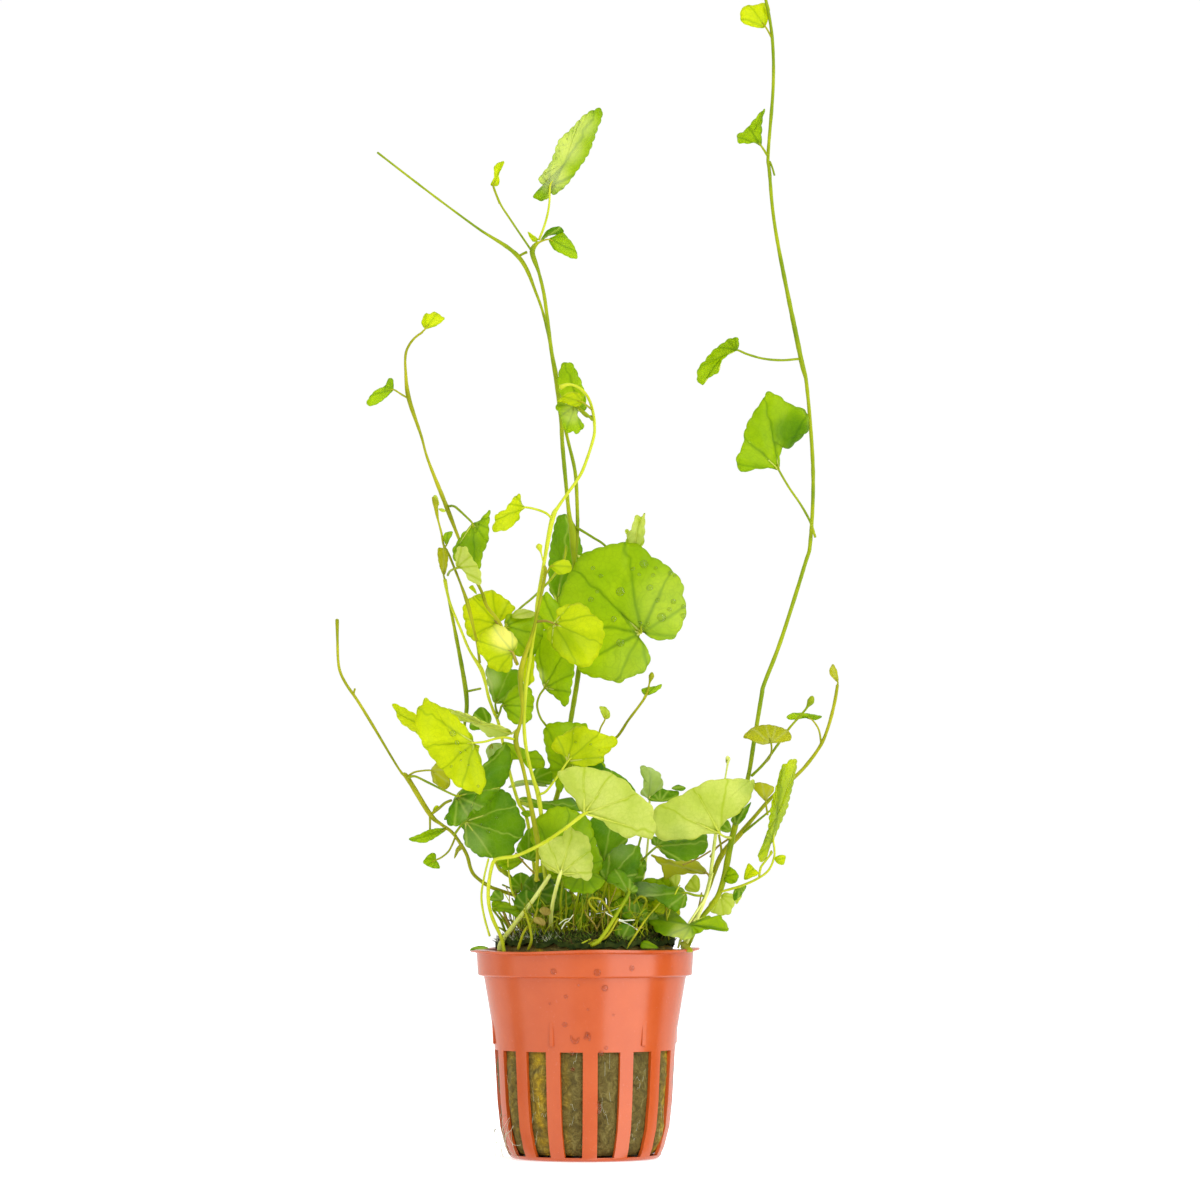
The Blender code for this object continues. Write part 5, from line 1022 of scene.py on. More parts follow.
class Blade:
    """Where a leaf's surface lies: its base, direction and size, and its depth at each point seen."""

    def __init__(self, base, rim, middle, slope, seed, cup, wave, folds, crease):
        self.base = base
        self.slope = slope
        self.size = max(math.dist(point, base[:2]) for point in rim)
        self.toward = math.atan2(middle[1] - base[1], middle[0] - base[0])
        self.seed = seed
        self.phase = random.Random(seed).uniform(0, math.tau)
        self.cup, self.wave, self.folds, self.crease = cup, wave, folds, crease

    def polar(self, x, z):
        """Distance from the base, and angle from the leaf's own direction."""
        reach = math.hypot(x - self.base[0], z - self.base[1])
        return reach, math.atan2(z - self.base[1], x - self.base[0]) - self.toward

    def depth(self, x, z, share):
        """The depth of the leaf at this point, share of the way from its middle to its rim."""
        reach, angle = self.polar(x, z)
        depth = self.base[2] + self.slope[0] * (x - self.base[0]) + self.slope[1] * (z - self.base[1])
        depth += self.cup * share * share * self.size * 0.5
        depth += self.wave * share ** 3 * math.sin(angle * 5 + self.phase) * min(1.0, self.size / 12)
        valley = abs(math.sin(angle / VEIN_SPREAD * math.pi)) if abs(angle) < 2.6 else 1.0
        depth -= self.crease * valley * min(1.0, reach / 6) * (1 - 0.4 * share)
        rough = 1.6 if self.crease > 0.8 else 0.45
        depth += rough * noise.noise(Vector((x * 0.3, z * 0.3, self.seed)))
        for fold_x, fold_z, degrees, steepness in self.folds:
            lean = math.radians(degrees)
            beyond = (x - fold_x) * math.cos(lean) + (z - fold_z) * math.sin(lean)
            depth += steepness * max(0.0, beyond)
        return depth

    def uv(self, x, z):
        """The vein pattern's coordinates: the base in the middle, the leaf's direction along the first."""
        reach, angle = self.polar(x, z)
        reach /= 2 * max(self.size, GROWN_LEAF)
        return 0.5 + reach * math.cos(angle), 0.5 + reach * math.sin(angle)

    def reach_toward(self, angle, rim):
        """How far the rim lies from the base along this angle."""
        best = 0.0
        for x, z in rim:
            reach, turn = self.polar(x, z)
            if abs(math.remainder(turn - angle, math.tau)) < 0.09:
                best = max(best, reach)
        return best


def add_blade(shape, base, outline, slope, seed, cup=0.1, wave=0.8, folds=(), rings=9, crease=0.55,
              centre=None, thickness=0.32, pitch=2.4, scallop=0.38, tones_and_painted_light=(), under=False):
    """A leaf blade: rings of faces from its middle to its outline, thickened, ribbed on its under side.

    folds are (x, z, direction in degrees, steepness): beyond the line through x, z the blade turns back.
    Tone patches are (x, z, radius, amount): lighter above zero and darker below; they are partly the leaf's
    own tone and partly painted highlight and painted shade.
    """
    middle = centre or inside_centre(base, outline)
    rim = spline([base[:2]] + list(outline), 0.5, closed=True)
    if sum(a[0] * b[1] - b[0] * a[1] for a, b in zip(rim, rim[1:] + rim[:1])) < 0:
        rim.reverse()
    rim = scalloped(rim, base[:2], pitch, scallop)
    blade = Blade(base, rim, middle, slope, seed, cup, wave, folds, crease)
    rings = max(4, min(rings, round(0.5 * blade.size)))
    uv_layer = shape.loops.layers.uv.verify()
    tone_layer = shape.verts.layers.float.get("tone") or shape.verts.layers.float.new("tone")
    uv_of = {}

    def corner(x, z, share):
        vertex = shape.verts.new(seen(x, z, blade.depth(x, z, share)))
        vertex[tone_layer] = sum(
            amount * math.exp(-(math.dist((x, z), (tone_x, tone_z)) / radius) ** 4)
            for tone_x, tone_z, radius, amount in tones_and_painted_light
        )
        uv_of[vertex] = blade.uv(x, z)
        return vertex

    loops = []
    for step in range(1, rings + 1):
        share = (step / rings) ** 0.85
        loops.append([
            corner(middle[0] + share * (x - middle[0]), middle[1] + share * (z - middle[1]), share)
            for x, z in rim
        ])
    faces = fan(shape, loops[0], corner(*middle, 0.0)) + bridge(shape, loops[::-1])
    for face in faces:
        face.normal_update()
    fronts = list(uv_of)
    normals = [sum((face.normal for face in vertex.link_faces), Vector()).normalized() for vertex in fronts]
    edge = set(loops[-1])
    back_of = {}
    for vertex, normal in zip(fronts, normals):
        half = 0.5 * thickness * MM * (0.35 if vertex in edge else 1.0)
        back = shape.verts.new(vertex.co - normal * half)
        back[tone_layer] = vertex[tone_layer]
        vertex.co += normal * half
        back_of[vertex] = back
        uv_of[back] = uv_of[vertex]
    backs = [shape.faces.new([back_of[vertex] for vertex in reversed(face.verts)]) for face in faces]
    faces += bridge(shape, [[back_of[vertex] for vertex in loops[-1]], loops[-1]])
    polish(faces)
    polish(backs, 1)
    for face in faces + backs:
        for loop in face.loops:
            loop[uv_layer].uv = uv_of[loop.vert]
    add_ribs(shape, blade, rim, middle, thickness, under)


def is_inside(x, z, rim):
    """Whether this point lies within the closed rim."""
    crossings = 0
    for (first_x, first_z), (second_x, second_z) in zip(rim, rim[1:] + rim[:1]):
        if (first_z > z) != (second_z > z):
            crossings += x < first_x + (second_x - first_x) * (z - first_z) / (second_z - first_z)
    return crossings % 2 == 1


def add_ribs(shape, blade, rim, middle, thickness, under):
    """The main veins that stand out on a leaf's under side."""
    if blade.size < 8:
        return
    lift = (-1 if under else 1) * (0.5 * thickness + 0.08) * math.hypot(1.0, *blade.slope)
    for spoke in (-2, -1, 0, 1, 2):
        angle = spoke * VEIN_SPREAD
        length = blade.reach_toward(angle, rim) * (0.92 if spoke == 0 else 0.8)
        if length < 4:
            continue
        centres = []
        count = max(5, int(length / 0.8))
        for step in range(count + 1):
            reach = length * step / count
            x = blade.base[0] + reach * math.cos(blade.toward + angle)
            z = blade.base[1] + reach * math.sin(blade.toward + angle)
            if step and not is_inside(x, z, rim):
                break
            share = min(1.0, math.dist((x, z), middle) / max(1.0, 0.5 * blade.size))
            centres.append(seen(x, z, blade.depth(x, z, share * 0.8) + lift))
        if len(centres) < 5:
            continue
        grown = min(1.0, blade.size / GROWN_LEAF)
        radii = [max(0.06, 0.24 * (1 - step / count) + 0.05) * grown for step in range(len(centres))]
        sweep(shape, centres, radii, 6, 0 if under else 1)


def add_leaf(shape, stalk, outline, slope, seed, thick=0.34, stalk_end=None, **form):
    """One leaf with its stalk, which runs a little way into the blade."""
    x, z, depth = stalk[-1][:3]
    middle_x, middle_z = inside_centre(stalk[-1], outline)
    run = Vector((middle_x - x, middle_z - z)).normalized() * STALK_INTO_BLADE
    tip = (x + run.x, z + run.y, depth + slope[0] * run.x + slope[1] * run.y, 0.12)
    end = stalk_end or thick * 0.8
    if len(stalk) > 1:
        first, second = Vector(stalk[0][:3]), Vector(stalk[1][:3])
        root = first + (first - second).normalized() * 0.5
        knots = [(*root, thick)] + with_radii(stalk, thick, end) + [tip]
        add_tube(shape, knots, thick, end, sides=8, step=0.7, slot=2)
    add_blade(shape, stalk[-1][:3], outline, slope, seed, **form)


def feed(node, inputs):
    """Give a node's inputs their values, or join them to the outputs of other nodes."""
    for key, value in dict(inputs).items():
        if isinstance(value, bpy.types.NodeSocket):
            node.id_data.links.new(value, node.inputs[key])
        else:
            node.inputs[key].default_value = value


def node_maker(material):
    """A short way to add a node to a material: its kind, its inputs and its settings."""
    tree = material.node_tree

    def make(kind, inputs=(), **settings):
        node = tree.nodes.new("ShaderNode" + kind)
        for key, value in settings.items():
            setattr(node, key, value)
        feed(node, inputs)
        return node

    return make


def new_material(name):
    """A material, its Principled shader and its node maker."""
    material = bpy.data.materials.new(name)
    material.use_nodes = True
    return material, material.node_tree.nodes["Principled BSDF"], node_maker(material)


def ramp(make, factor, stops):
    """A colour ramp over a factor, from (position, colour) stops."""
    node = make("ValToRGB", {"Fac": factor})
    elements = node.color_ramp.elements
    while len(elements) < len(stops):
        elements.new(0.5)
    for element, (position, colour) in zip(elements, stops):
        element.position = position
        element.color = (*colour, 1.0)
    return node.outputs["Color"]


def mix(make, factor, first, second, blend="MIX"):
    """Two colours mixed by a factor."""
    node = make("Mix", data_type="RGBA", blend_type=blend)
    for key, value in ((0, factor), (6, first), (7, second)):
        feed(node, {key: (*value, 1.0) if isinstance(value, tuple) else value})
    return node.outputs[2]


def maths(make, operation, *values):
    """One arithmetic node."""
    return make("Math", enumerate(values), operation=operation).outputs[0]


def times(make, first, second):
    """Two values multiplied."""
    return maths(make, "MULTIPLY", first, second)


def positive(make, value, most=None):
    """A value held above zero, and under its most where that is given."""
    value = maths(make, "MAXIMUM", value, 0.0)
    return value if most is None else maths(make, "MINIMUM", value, most)


def clouds(make, place, scale, detail=2.0, **more):
    """Smooth noise of this scale, about one half."""
    return make("TexNoise", {"Vector": place, "Scale": scale, "Detail": detail, **more}).outputs["Fac"]


def raised(make, height, strength, distance):
    """The normal of a surface with this relief."""
    return make("Bump", {"Height": height, "Strength": strength, "Distance": distance}).outputs["Normal"]


def blended(material, make, share, first, second):
    """Give a material one shader with this share of a second one in it."""
    blend = make("MixShader", {0: share, 1: first.outputs["BSDF"], 2: second.outputs["BSDF"]})
    feed(material.node_tree.nodes["Material Output"], {"Surface": blend.outputs["Shader"]})


def grey(level):
    """A grey of this level."""
    return (level, level, level)


def vein_lines(make, angle, reach, spread, width):
    """One on the lines that leave a leaf's base this far apart, fading to zero beside them."""
    turns = maths(make, "DIVIDE", angle, spread)
    off = maths(make, "ABSOLUTE", maths(make, "SUBTRACT", turns, maths(make, "ROUND", turns)))
    distance = times(make, times(make, off, spread), reach)
    narrow = maths(make, "MAXIMUM", maths(make, "MULTIPLY_ADD", reach, -0.7 * width, width), 0.4 * width)
    return positive(make, maths(make, "SUBTRACT", 1.0, maths(make, "DIVIDE", distance, narrow)))


def vein_masks(make, place):
    """A leaf's main veins, and the finer net between them, each one on the vein and zero beside it."""
    uv = make("UVMap").outputs["UV"]
    wobble = maths(make, "SUBTRACT", clouds(make, uv, 9.0), 0.5)
    apart = make("SeparateXYZ", {"Vector": uv})
    u = maths(make, "SUBTRACT", apart.outputs["X"], 0.5)
    v = maths(make, "SUBTRACT", apart.outputs["Y"], 0.5)
    reach = maths(make, "SQRT", maths(make, "ADD", times(make, u, u), times(make, v, v)))
    angle = maths(make, "ARCTAN2", v, u)
    main = vein_lines(make, maths(make, "MULTIPLY_ADD", wobble, 0.22, angle), reach, VEIN_SPREAD, 0.015)
    side = vein_lines(make, maths(make, "MULTIPLY_ADD", wobble, 1.1, angle), reach, VEIN_SPREAD / 3, 0.006)
    side = times(make, side, maths(make, "GREATER_THAN", reach, 0.14))
    cells = make("TexVoronoi", {"Vector": place, "Scale": 620.0}, feature="DISTANCE_TO_EDGE")
    net = positive(make, maths(make, "SUBTRACT", 1.0, maths(make, "DIVIDE", cells.outputs["Distance"], 0.09)))
    return main, maths(make, "MAXIMUM", times(make, side, 0.8), times(make, net, 0.5))


def leaf_material(name, look, under):
    """A leaf's surface: blotched green with veins in slight relief, lighter and darker patches that are
    partly painted highlight and painted shade, and light through it.
    """
    deep, light, vein, glow_colour = LEAF_LOOKS[look]
    material, shader, make = new_material(name)
    place = make("TexCoord").outputs["Object"]
    grain = ramp(make, clouds(make, place, 1500.0, 1.0), [(0.3, (0.88, 0.9, 0.86)), (0.7, grey(1.0))])
    body = ramp(make, clouds(make, place, 160.0, 4.0), [(0.35, deep), (0.65, light)])
    body = mix(make, 1.0, body, grain, "MULTIPLY")
    main, fine = vein_masks(make, place)
    body = mix(make, times(make, fine, 0.5), body, tuple(0.5 * (a + b) for a, b in zip(deep, vein)))
    body = mix(make, times(make, main, 0.95), body, vein)
    # The tone attribute's patches: partly the leaf's own tone, partly painted highlight, which turns whitish,
    # and painted shade.
    tone = make("Attribute", attribute_name="tone").outputs["Fac"]
    lighter = positive(make, tone, 1.0)
    darker = positive(make, times(make, tone, -1.0), 1.0)
    tint = mix(make, times(make, lighter, 0.85), grey(1.0), LIGHTER_AND_HIGHLIGHT_TINT[under])
    tint = mix(make, times(make, darker, 0.85), tint, DARKER_AND_SHADE_TINT[under])
    body = mix(make, times(make, lighter, 0.6), mix(make, 1.0, body, tint, "MULTIPLY"), WHITISH_PATCH_AND_HIGHLIGHT)
    relief = maths(make, "MAXIMUM", main, times(make, fine, 0.6))
    normal = raised(make, times(make, relief, 1.0 if under else -1.0), 0.3, 0.0001)
    roughness, gloss = (0.5, 0.12) if under else (0.36, 0.14)
    feed(shader, {"Base Color": body, "Roughness": roughness, "Specular IOR Level": gloss, "Normal": normal})
    through = mix(make, 1.0, mix(make, times(make, relief, 0.5), glow_colour, vein), tint, "MULTIPLY")
    blended(material, make, 0.55, shader, make("BsdfTranslucent", {"Color": through, "Normal": normal}))
    return material


def stem_material(look):
    """A stem's surface: two colours, streaked along it."""
    deep, light = STEM_LOOKS[look]
    material, shader, make = new_material("stem_" + look)
    place = make("TexCoord").outputs["Object"]
    streaks = make("Mapping", {"Vector": place, "Scale": (1100.0, 1100.0, 90.0)}).outputs["Vector"]
    line = clouds(make, streaks, 1.0, 1.0)
    body = ramp(make, clouds(make, place, 110.0, 3.0), [(0.38, deep), (0.64, light)])
    feed(shader, {
        "Base Color": mix(make, times(make, line, 0.35), body, light), "Roughness": 0.45,
        "Specular IOR Level": 0.12, "Subsurface Weight": 0.1, "Subsurface Radius": (0.7, 1.0, 0.1),
        "Subsurface Scale": 0.0008, "Normal": raised(make, line, 0.12, 0.0002),
    })
    return material


def pot_material():
    """Moulded terracotta-orange plastic: faintly mottled and glossy, with pale specks of scale."""
    material, shader, make = new_material("pot_plastic")
    place = make("TexCoord").outputs["Object"]
    cloud = clouds(make, place, 70.0, 5.0, Roughness=0.6)
    speck = clouds(make, place, 1500.0, 2.0)
    body = ramp(make, cloud, [(0.32, (0.43, 0.063, 0.005)), (0.68, (0.48, 0.080, 0.010))])
    scale = ramp(make, speck, [(0.66, grey(0.0)), (0.78, grey(0.03))])
    height = maths(make, "MULTIPLY_ADD", speck, 0.1, clouds(make, place, 120.0))
    feed(shader, {
        "Base Color": mix(make, 1.0, body, scale, "ADD"), "Specular IOR Level": 0.6,
        "Roughness": ramp(make, cloud, [(0.3, grey(0.18)), (0.7, grey(0.26))]),
        "Normal": raised(make, height, 0.16, 0.0004),
    })
    return material


def wool_material():
    """Wet rockwool: matted khaki fibres with dark gaps and yellow stretches."""
    material, shader, make = new_material("wet_rockwool")
    place = make("TexCoord").outputs["Object"]
    swirl = clouds(make, place, 420.0, 5.0, Roughness=0.72, Distortion=1.6)
    thread = clouds(make, place, 900.0, 3.0, Distortion=2.0)
    cloud = clouds(make, place, 190.0, 3.0, Distortion=1.2)
    body = ramp(make, swirl, [
        (0.3, (0.03, 0.02, 0.002)), (0.5, (0.105, 0.078, 0.014)), (0.7, (0.22, 0.18, 0.05)),
    ])
    body = mix(make, times(make, thread, 0.25), body, (0.12, 0.09, 0.015))
    tone = make("Attribute", attribute_name="tone").outputs["Fac"]
    patch = times(make, tone, ramp(make, cloud, [(0.36, grey(0.15)), (0.6, grey(1.0))]))
    feed(shader, {
        "Base Color": mix(make, patch, body, mix(make, 1.0, body, (3.0, 2.5, 0.15), "MULTIPLY")),
        "Roughness": 0.6, "Specular IOR Level": 0.2,
        "Normal": raised(make, maths(make, "MULTIPLY_ADD", thread, 0.5, swirl), 0.8, 0.0007),
    })
    return material


def mottled_material(name):
    """Two colours mottled, for moss and threads."""
    first, second, scale, roughness = MOTTLED_LOOKS[name]
    material, shader, make = new_material(name)
    cloud = clouds(make, make("TexCoord").outputs["Object"], scale, 3.0)
    feed(shader, {
        "Base Color": ramp(make, cloud, [(0.38, first), (0.62, second)]), "Roughness": roughness,
        "Specular IOR Level": 0.1, "Normal": raised(make, cloud, 0.5, 0.0003),
    })
    return material


def water_material(name, tint):
    """Clear water: see-through in the middle, with painted shade of this tint on its edges, and a bright
    skin.
    """
    material, shader, make = new_material(name)
    ripple = clouds(make, make("TexCoord").outputs["Object"], 700.0)
    feed(shader, {
        "Base Color": ramp(make, ripple, [(0.3, tint), (0.7, [1.3 * part for part in tint])]),
        "Roughness": 0.05, "Specular IOR Level": 0.8, "Normal": raised(make, ripple, 0.1, 0.0002),
    })
    # The edges turn opaque in the given tint: painted shade.
    edge = make("LayerWeight", {"Blend": 0.35}).outputs["Facing"]
    blended(material, make, maths(make, "MULTIPLY_ADD", edge, 0.85, 0.12), make("BsdfTransparent"), shader)
    return material


def pot_columns():
    """The wall's fine columns, as (bar, whether it is over a slot, share of the way across)."""
    columns = []
    for bar in range(SLOT_COUNT):
        columns += [(bar, False, part / BAR_COLUMNS) for part in range(BAR_COLUMNS)]
        columns += [(bar, True, part / SLOT_COLUMNS) for part in range(SLOT_COLUMNS)]
    return columns


def column_angle(column, radius):
    """Where one column stands at this radius, so that the bars keep their width all the way up."""
    bar, is_slot, part = column
    pitch = math.tau / SLOT_COUNT
    half = math.asin(0.5 * BAR_WIDTH / radius)
    start = math.radians(FIRST_BAR_DEGREES) + bar * pitch
    return start + half + (pitch - 2 * half) * part if is_slot else start - half + 2 * half * part


def brim_wave(angle, height):
    """How far the pot's thin brim bends up or down at this angle."""
    share = max(0.0, (height - 47.0) / 5.7)
    flare = 0.55 * math.exp(-((angle - 1.57) / 0.35) ** 2)
    return share * share * (0.25 * math.sin(2 * angle + 0.6) + 0.14 * math.sin(5 * angle + 1.3) + flare)


def around(radius, angle, height):
    """The point at this radius and height, turned from the front toward +X."""
    return Vector((radius * math.sin(angle), -radius * math.cos(angle), height)) * MM


def line_slots(shape, rings, columns, outer_rows, inner_rows):
    """Faces across the wall's thickness, all round each slot."""
    for column, (_, is_slot, _) in enumerate(columns):
        if is_slot != columns[column - 1][1]:
            for rows in zip(outer_rows, outer_rows[1:], inner_rows[1:], inner_rows):
                shape.faces.new([rings[row][column] for row in rows])
        if is_slot:
            after = (column + 1) % len(columns)
            for step in (0, -1):
                outer, inner = rings[outer_rows[step]], rings[inner_rows[step]]
                shape.faces.new((outer[column], outer[after], inner[after], inner[column]))


def add_pot():
    """The net pot, with its slots open and lined, its stepped skirt, wavy brim and stacking lugs."""
    columns = pot_columns()
    inside = [(radius - POT_WALL, height) for radius, height in reversed(POT_OUTSIDE[2:-1])]
    profile = POT_OUTSIDE + POT_BRIM + inside
    shape = bmesh.new()
    rings = []
    for radius, height in profile:
        rings.append([])
        for column in columns:
            angle = column_angle(column, max(radius, NARROWEST_BARS))
            rings[-1].append(shape.verts.new(around(radius, angle, height + brim_wave(angle, height))))
    outer_rows = [row for row, (_, height) in enumerate(POT_OUTSIDE) if SLOT_BOTTOM <= height <= SLOT_TOP]
    inner_start = len(POT_OUTSIDE) + len(POT_BRIM)
    inner_rows = [row for row in range(inner_start, len(profile)) if profile[row][1] <= SLOT_TOP]
    inner_rows.reverse()
    slot_rows = set(outer_rows[:-1] + inner_rows[1:])
    for row, (low, high) in enumerate(zip(rings, rings[1:])):
        for column, (_, is_slot, _) in enumerate(columns):
            if not (is_slot and row in slot_rows):
                after = (column + 1) % len(columns)
                shape.faces.new((low[column], low[after], high[after], high[column]))
    line_slots(shape, rings, columns, outer_rows, inner_rows)
    shape.faces.new(rings[0])
    shape.faces.new(rings[-1])
    bmesh.ops.recalc_face_normals(shape, faces=shape.faces)
    polish(shape.faces)
    plastic = pot_material()
    pot = new_piece("pot_dressed", finished("pot", shape, [plastic]), ["pot"])
    pot.data.set_sharp_from_angle(angle=SHARP_ANGLE)
    soften(pot, 0.16)
    shape = bmesh.new()
    for index in range(LUG_COUNT):
        add_lug(shape, math.radians(FIRST_LUG_DEGREES + index * 360 / LUG_COUNT))
    soften(new_piece("pot_lugs", finished("lugs", shape, [plastic]), ["pot"]), 0.25)


def soften(item, width):
    """Round a piece's sharp edges."""
    bevel = item.modifiers.new("Soft edges", "BEVEL")
    bevel.width = width * MM
    bevel.segments = 2
    bevel.limit_method = "ANGLE"
    bevel.angle_limit = SHARP_ANGLE


def add_lug(shape, angle):
    """One upright stacking lug: a thin rib that stands a little deeper at its top."""
    out = Vector((math.sin(angle), -math.cos(angle), 0.0))
    side = Vector((math.cos(angle), math.sin(angle), 0.0))
    for vertex in bmesh.ops.create_cube(shape, size=1.0)["verts"]:
        x, y, z = vertex.co
        level = Vector((0.0, 0.0, LUG_MIDDLE + z * LUG_HEIGHT))
        vertex.co = (side * x * LUG_WIDTH + out * (LUG_RADIUS + y * LUG_DEPTHS[z > 0]) + level) * MM


def wool_radius(radius, angle, height):
    """How far the plug's lumpy side reaches here: out into the slots, and further where it bulges."""
    turn = (angle - math.radians(FIRST_BAR_DEGREES)) / (math.tau / SLOT_COUNT)
    into_slot = math.sin(math.pi * (turn % 1.0)) ** 2
    level = max(0.0, min(1.0, (height - 2.0) / 4.0, (SLOT_TOP + 1 - height) / 4.0))
    place = around(radius, angle, height) / MM
    fuzz = noise.noise(place * 1.1) + 0.6 * noise.noise(place * 2.6)
    reach = radius + 0.8 * into_slot * level * (1.0 + 0.5 * noise.noise(place * 0.32)) + 0.16 * fuzz
    for place_at, width, spot in WOOL_BULGES:
        turned = math.remainder(angle - place_at, math.tau) / width
        reach += 0.7 * math.exp(-turned ** 2 - ((height - spot) / 4.5) ** 2)
    return reach


def add_rockwool():
    """The plug: a turned body whose sides swell into the slots, with a lumpy fibrous surface."""
    shape = bmesh.new()
    tone = shape.verts.layers.float.new("tone")
    rings = []
    for radius, height in spline(WOOL_PROFILE, 0.8):
        rings.append([])
        for side in range(WOOL_SIDES):
            angle = side * math.tau / WOOL_SIDES
            lump = noise.noise(around(radius, angle, height) / MM * 0.32) if height > 53.5 else 0.0
            vertex = shape.verts.new(around(wool_radius(radius, angle, height), angle, height + 0.5 * lump))
            vertex[tone] = min(1.0, sum(
                strength * math.exp(-(math.remainder(angle - math.radians(middle), math.tau) / width) ** 2)
                for middle, width, strength in WOOL_STREAKS
            ))
            rings[-1].append(vertex)
    bridge(shape, rings)
    fan(shape, rings[-1], shape.verts.new((0.0, 0.0, WOOL_TOP * MM)))
    shape.faces.new(rings[0])
    bmesh.ops.recalc_face_normals(shape, faces=shape.faces)
    polish(shape.faces)
    new_piece("rockwool_plug", finished("rockwool", shape, [wool_material()]), ["rockwool"])


def add_spike(shape, root, tip, width, slot):
    """One thin three-sided spike from root to tip, in metres."""
    along = (tip - root).normalized()
    across = along.orthogonal().normalized()
    base = ring(shape, root, across, along.cross(across), width, 3)
    for face in fan(shape, base, shape.verts.new(tip)) + [shape.faces.new(base[::-1])]:
        face.material_index = slot


def moss_height(x, y):
    """The height of the mossy top of the plug, in millimetres."""
    right = 1.2 * math.exp(-((x - 18) ** 2 + (y + 8) ** 2) / 30)
    left = 0.5 * math.exp(-((x + 16) ** 2 + (y + 10) ** 2) / 40)
    fall = 16.0 * max(0.0, math.hypot(x, y) / 22.4 - 0.8) ** 1.5
    return 56.3 + 1.2 * noise.noise(Vector((x * 0.3, y * 0.3, 3.0))) + right + left - fall


def add_moss(materials):
    """Dark moss over the top of the plug, with short leaves in it and pale threads at its left."""
    shape = bmesh.new()
    rings = []
    for row in range(1, MOSS_ROWS + 1):
        radius = MOSS_RADIUS * row / MOSS_ROWS
        rings.append([])
        for side in range(MOSS_SIDES):
            angle = side * math.tau / MOSS_SIDES
            lump = 0.9 * noise.noise(Vector((row * 1.7, side * 0.9, 7.0)))
            height = moss_height(radius * math.sin(angle), -radius * math.cos(angle)) + lump
            rings[-1].append(shape.verts.new(around(radius, angle, height)))
    skirt = [shape.verts.new(vertex.co - Vector((0.0, 0.0, 1.2 * MM))) for vertex in rings[-1]]
    fan(shape, rings[0], shape.verts.new((0.0, 0.0, moss_height(0, 0) * MM)))
    bridge(shape, [skirt] + rings[::-1])
    fan(shape, skirt[::-1], shape.verts.new((0.0, 0.0, 54.0 * MM)))
    chance = random.Random(5)
    for _ in range(MOSS_SPIKES):
        angle, radius = chance.uniform(0, math.tau), 22.6 * math.sqrt(chance.random())
        x, y = radius * math.sin(angle), -radius * math.cos(angle)
        root = Vector((x, y, moss_height(x, y) - 0.2)) * MM
        lean = Vector((chance.uniform(-1, 1), chance.uniform(-1, 1), chance.uniform(0.3, 1.3))).normalized()
        pale = x < -9 + chance.uniform(-4, 4) and chance.random() < 0.5
        tip = root + lean * chance.uniform(0.8, 2.3) * MM
        add_spike(shape, root, tip, (0.09 if pale else 0.2) * MM, 1 if pale else chance.choice((0, 2, 3)))
    looks = [materials[look] for look in ("moss", "grey_thread", "moss_light", "moss_brown")]
    new_piece("moss_cover", finished("moss", shape, looks), [])


def add_runners(shape, chance):
    """Thin stalks that stand up out of the moss."""
    for _ in range(RUNNERS):
        x, y = chance.uniform(-19, 20), chance.uniform(-15, 16)
        if math.hypot(x, y) > 21:
            continue
        height = chance.uniform(5, 14) if chance.random() < 0.5 else chance.uniform(2, 7)
        lean = chance.uniform(-5.5, 5.5)
        points = [(x, RUNNER_FOOT, y)]
        for step in (0.3, 0.6, 0.85, 1.0):
            bend = x + lean * step ** 1.4 + chance.uniform(-0.55, 0.55)
            points.append((bend, RUNNER_FOOT + (height + 1) * step, y + chance.uniform(-1.5, 1.5)))
        radius = chance.uniform(0.11, 0.27)
        slot = chance.choices(range(5), (1, 4, 10, 5, 0))[0]
        add_tube(shape, points, radius, radius * 0.7, sides=6, step=1.2, slot=slot)


def add_fallen_threads(shape, chance):
    """Thin roots and old stalks that lie across the moss."""
    for _ in range(FALLEN_THREADS):
        x, y = chance.uniform(-17, 18), chance.uniform(-19, 2)
        z = chance.uniform(56, 64)
        length = chance.uniform(4, 9)
        tilt = chance.uniform(-0.5, 0.5)
        points = []
        for step in (-0.5, -0.17, 0.16, 0.5):
            rise = length * tilt * step + chance.uniform(-0.35, 0.35)
            points.append((x + length * step, z + rise, y + chance.uniform(-1, 1)))
        radius = chance.uniform(0.08, 0.16)
        slot = chance.choices(range(5), (2, 4, 6, 4, 1))[0]
        add_tube(shape, points, radius, radius, sides=6, step=1.2, slot=slot)


def add_tangle(materials):
    """The mat of thin runners, old stalks and roots between the plug and the lowest leaves."""
    shape = bmesh.new()
    chance = random.Random(11)
    add_runners(shape, chance)
    add_fallen_threads(shape, chance)
    looks = ["yellow", "olive", "green", "brown", "white", "pale"]
    new_piece("foot_tangle", finished("tangle", shape, [materials[look] for look in looks[:5]]), [])
    add_foot_leaves(materials, chance)
    shape = bmesh.new()
    for start, end, look, points in STRANDS:
        add_tube(shape, points, start, end, sides=8, step=0.6, slot=looks.index(look))
    new_piece("loose_stalks", finished("stalks", shape, [materials[look] for look in looks]), [])


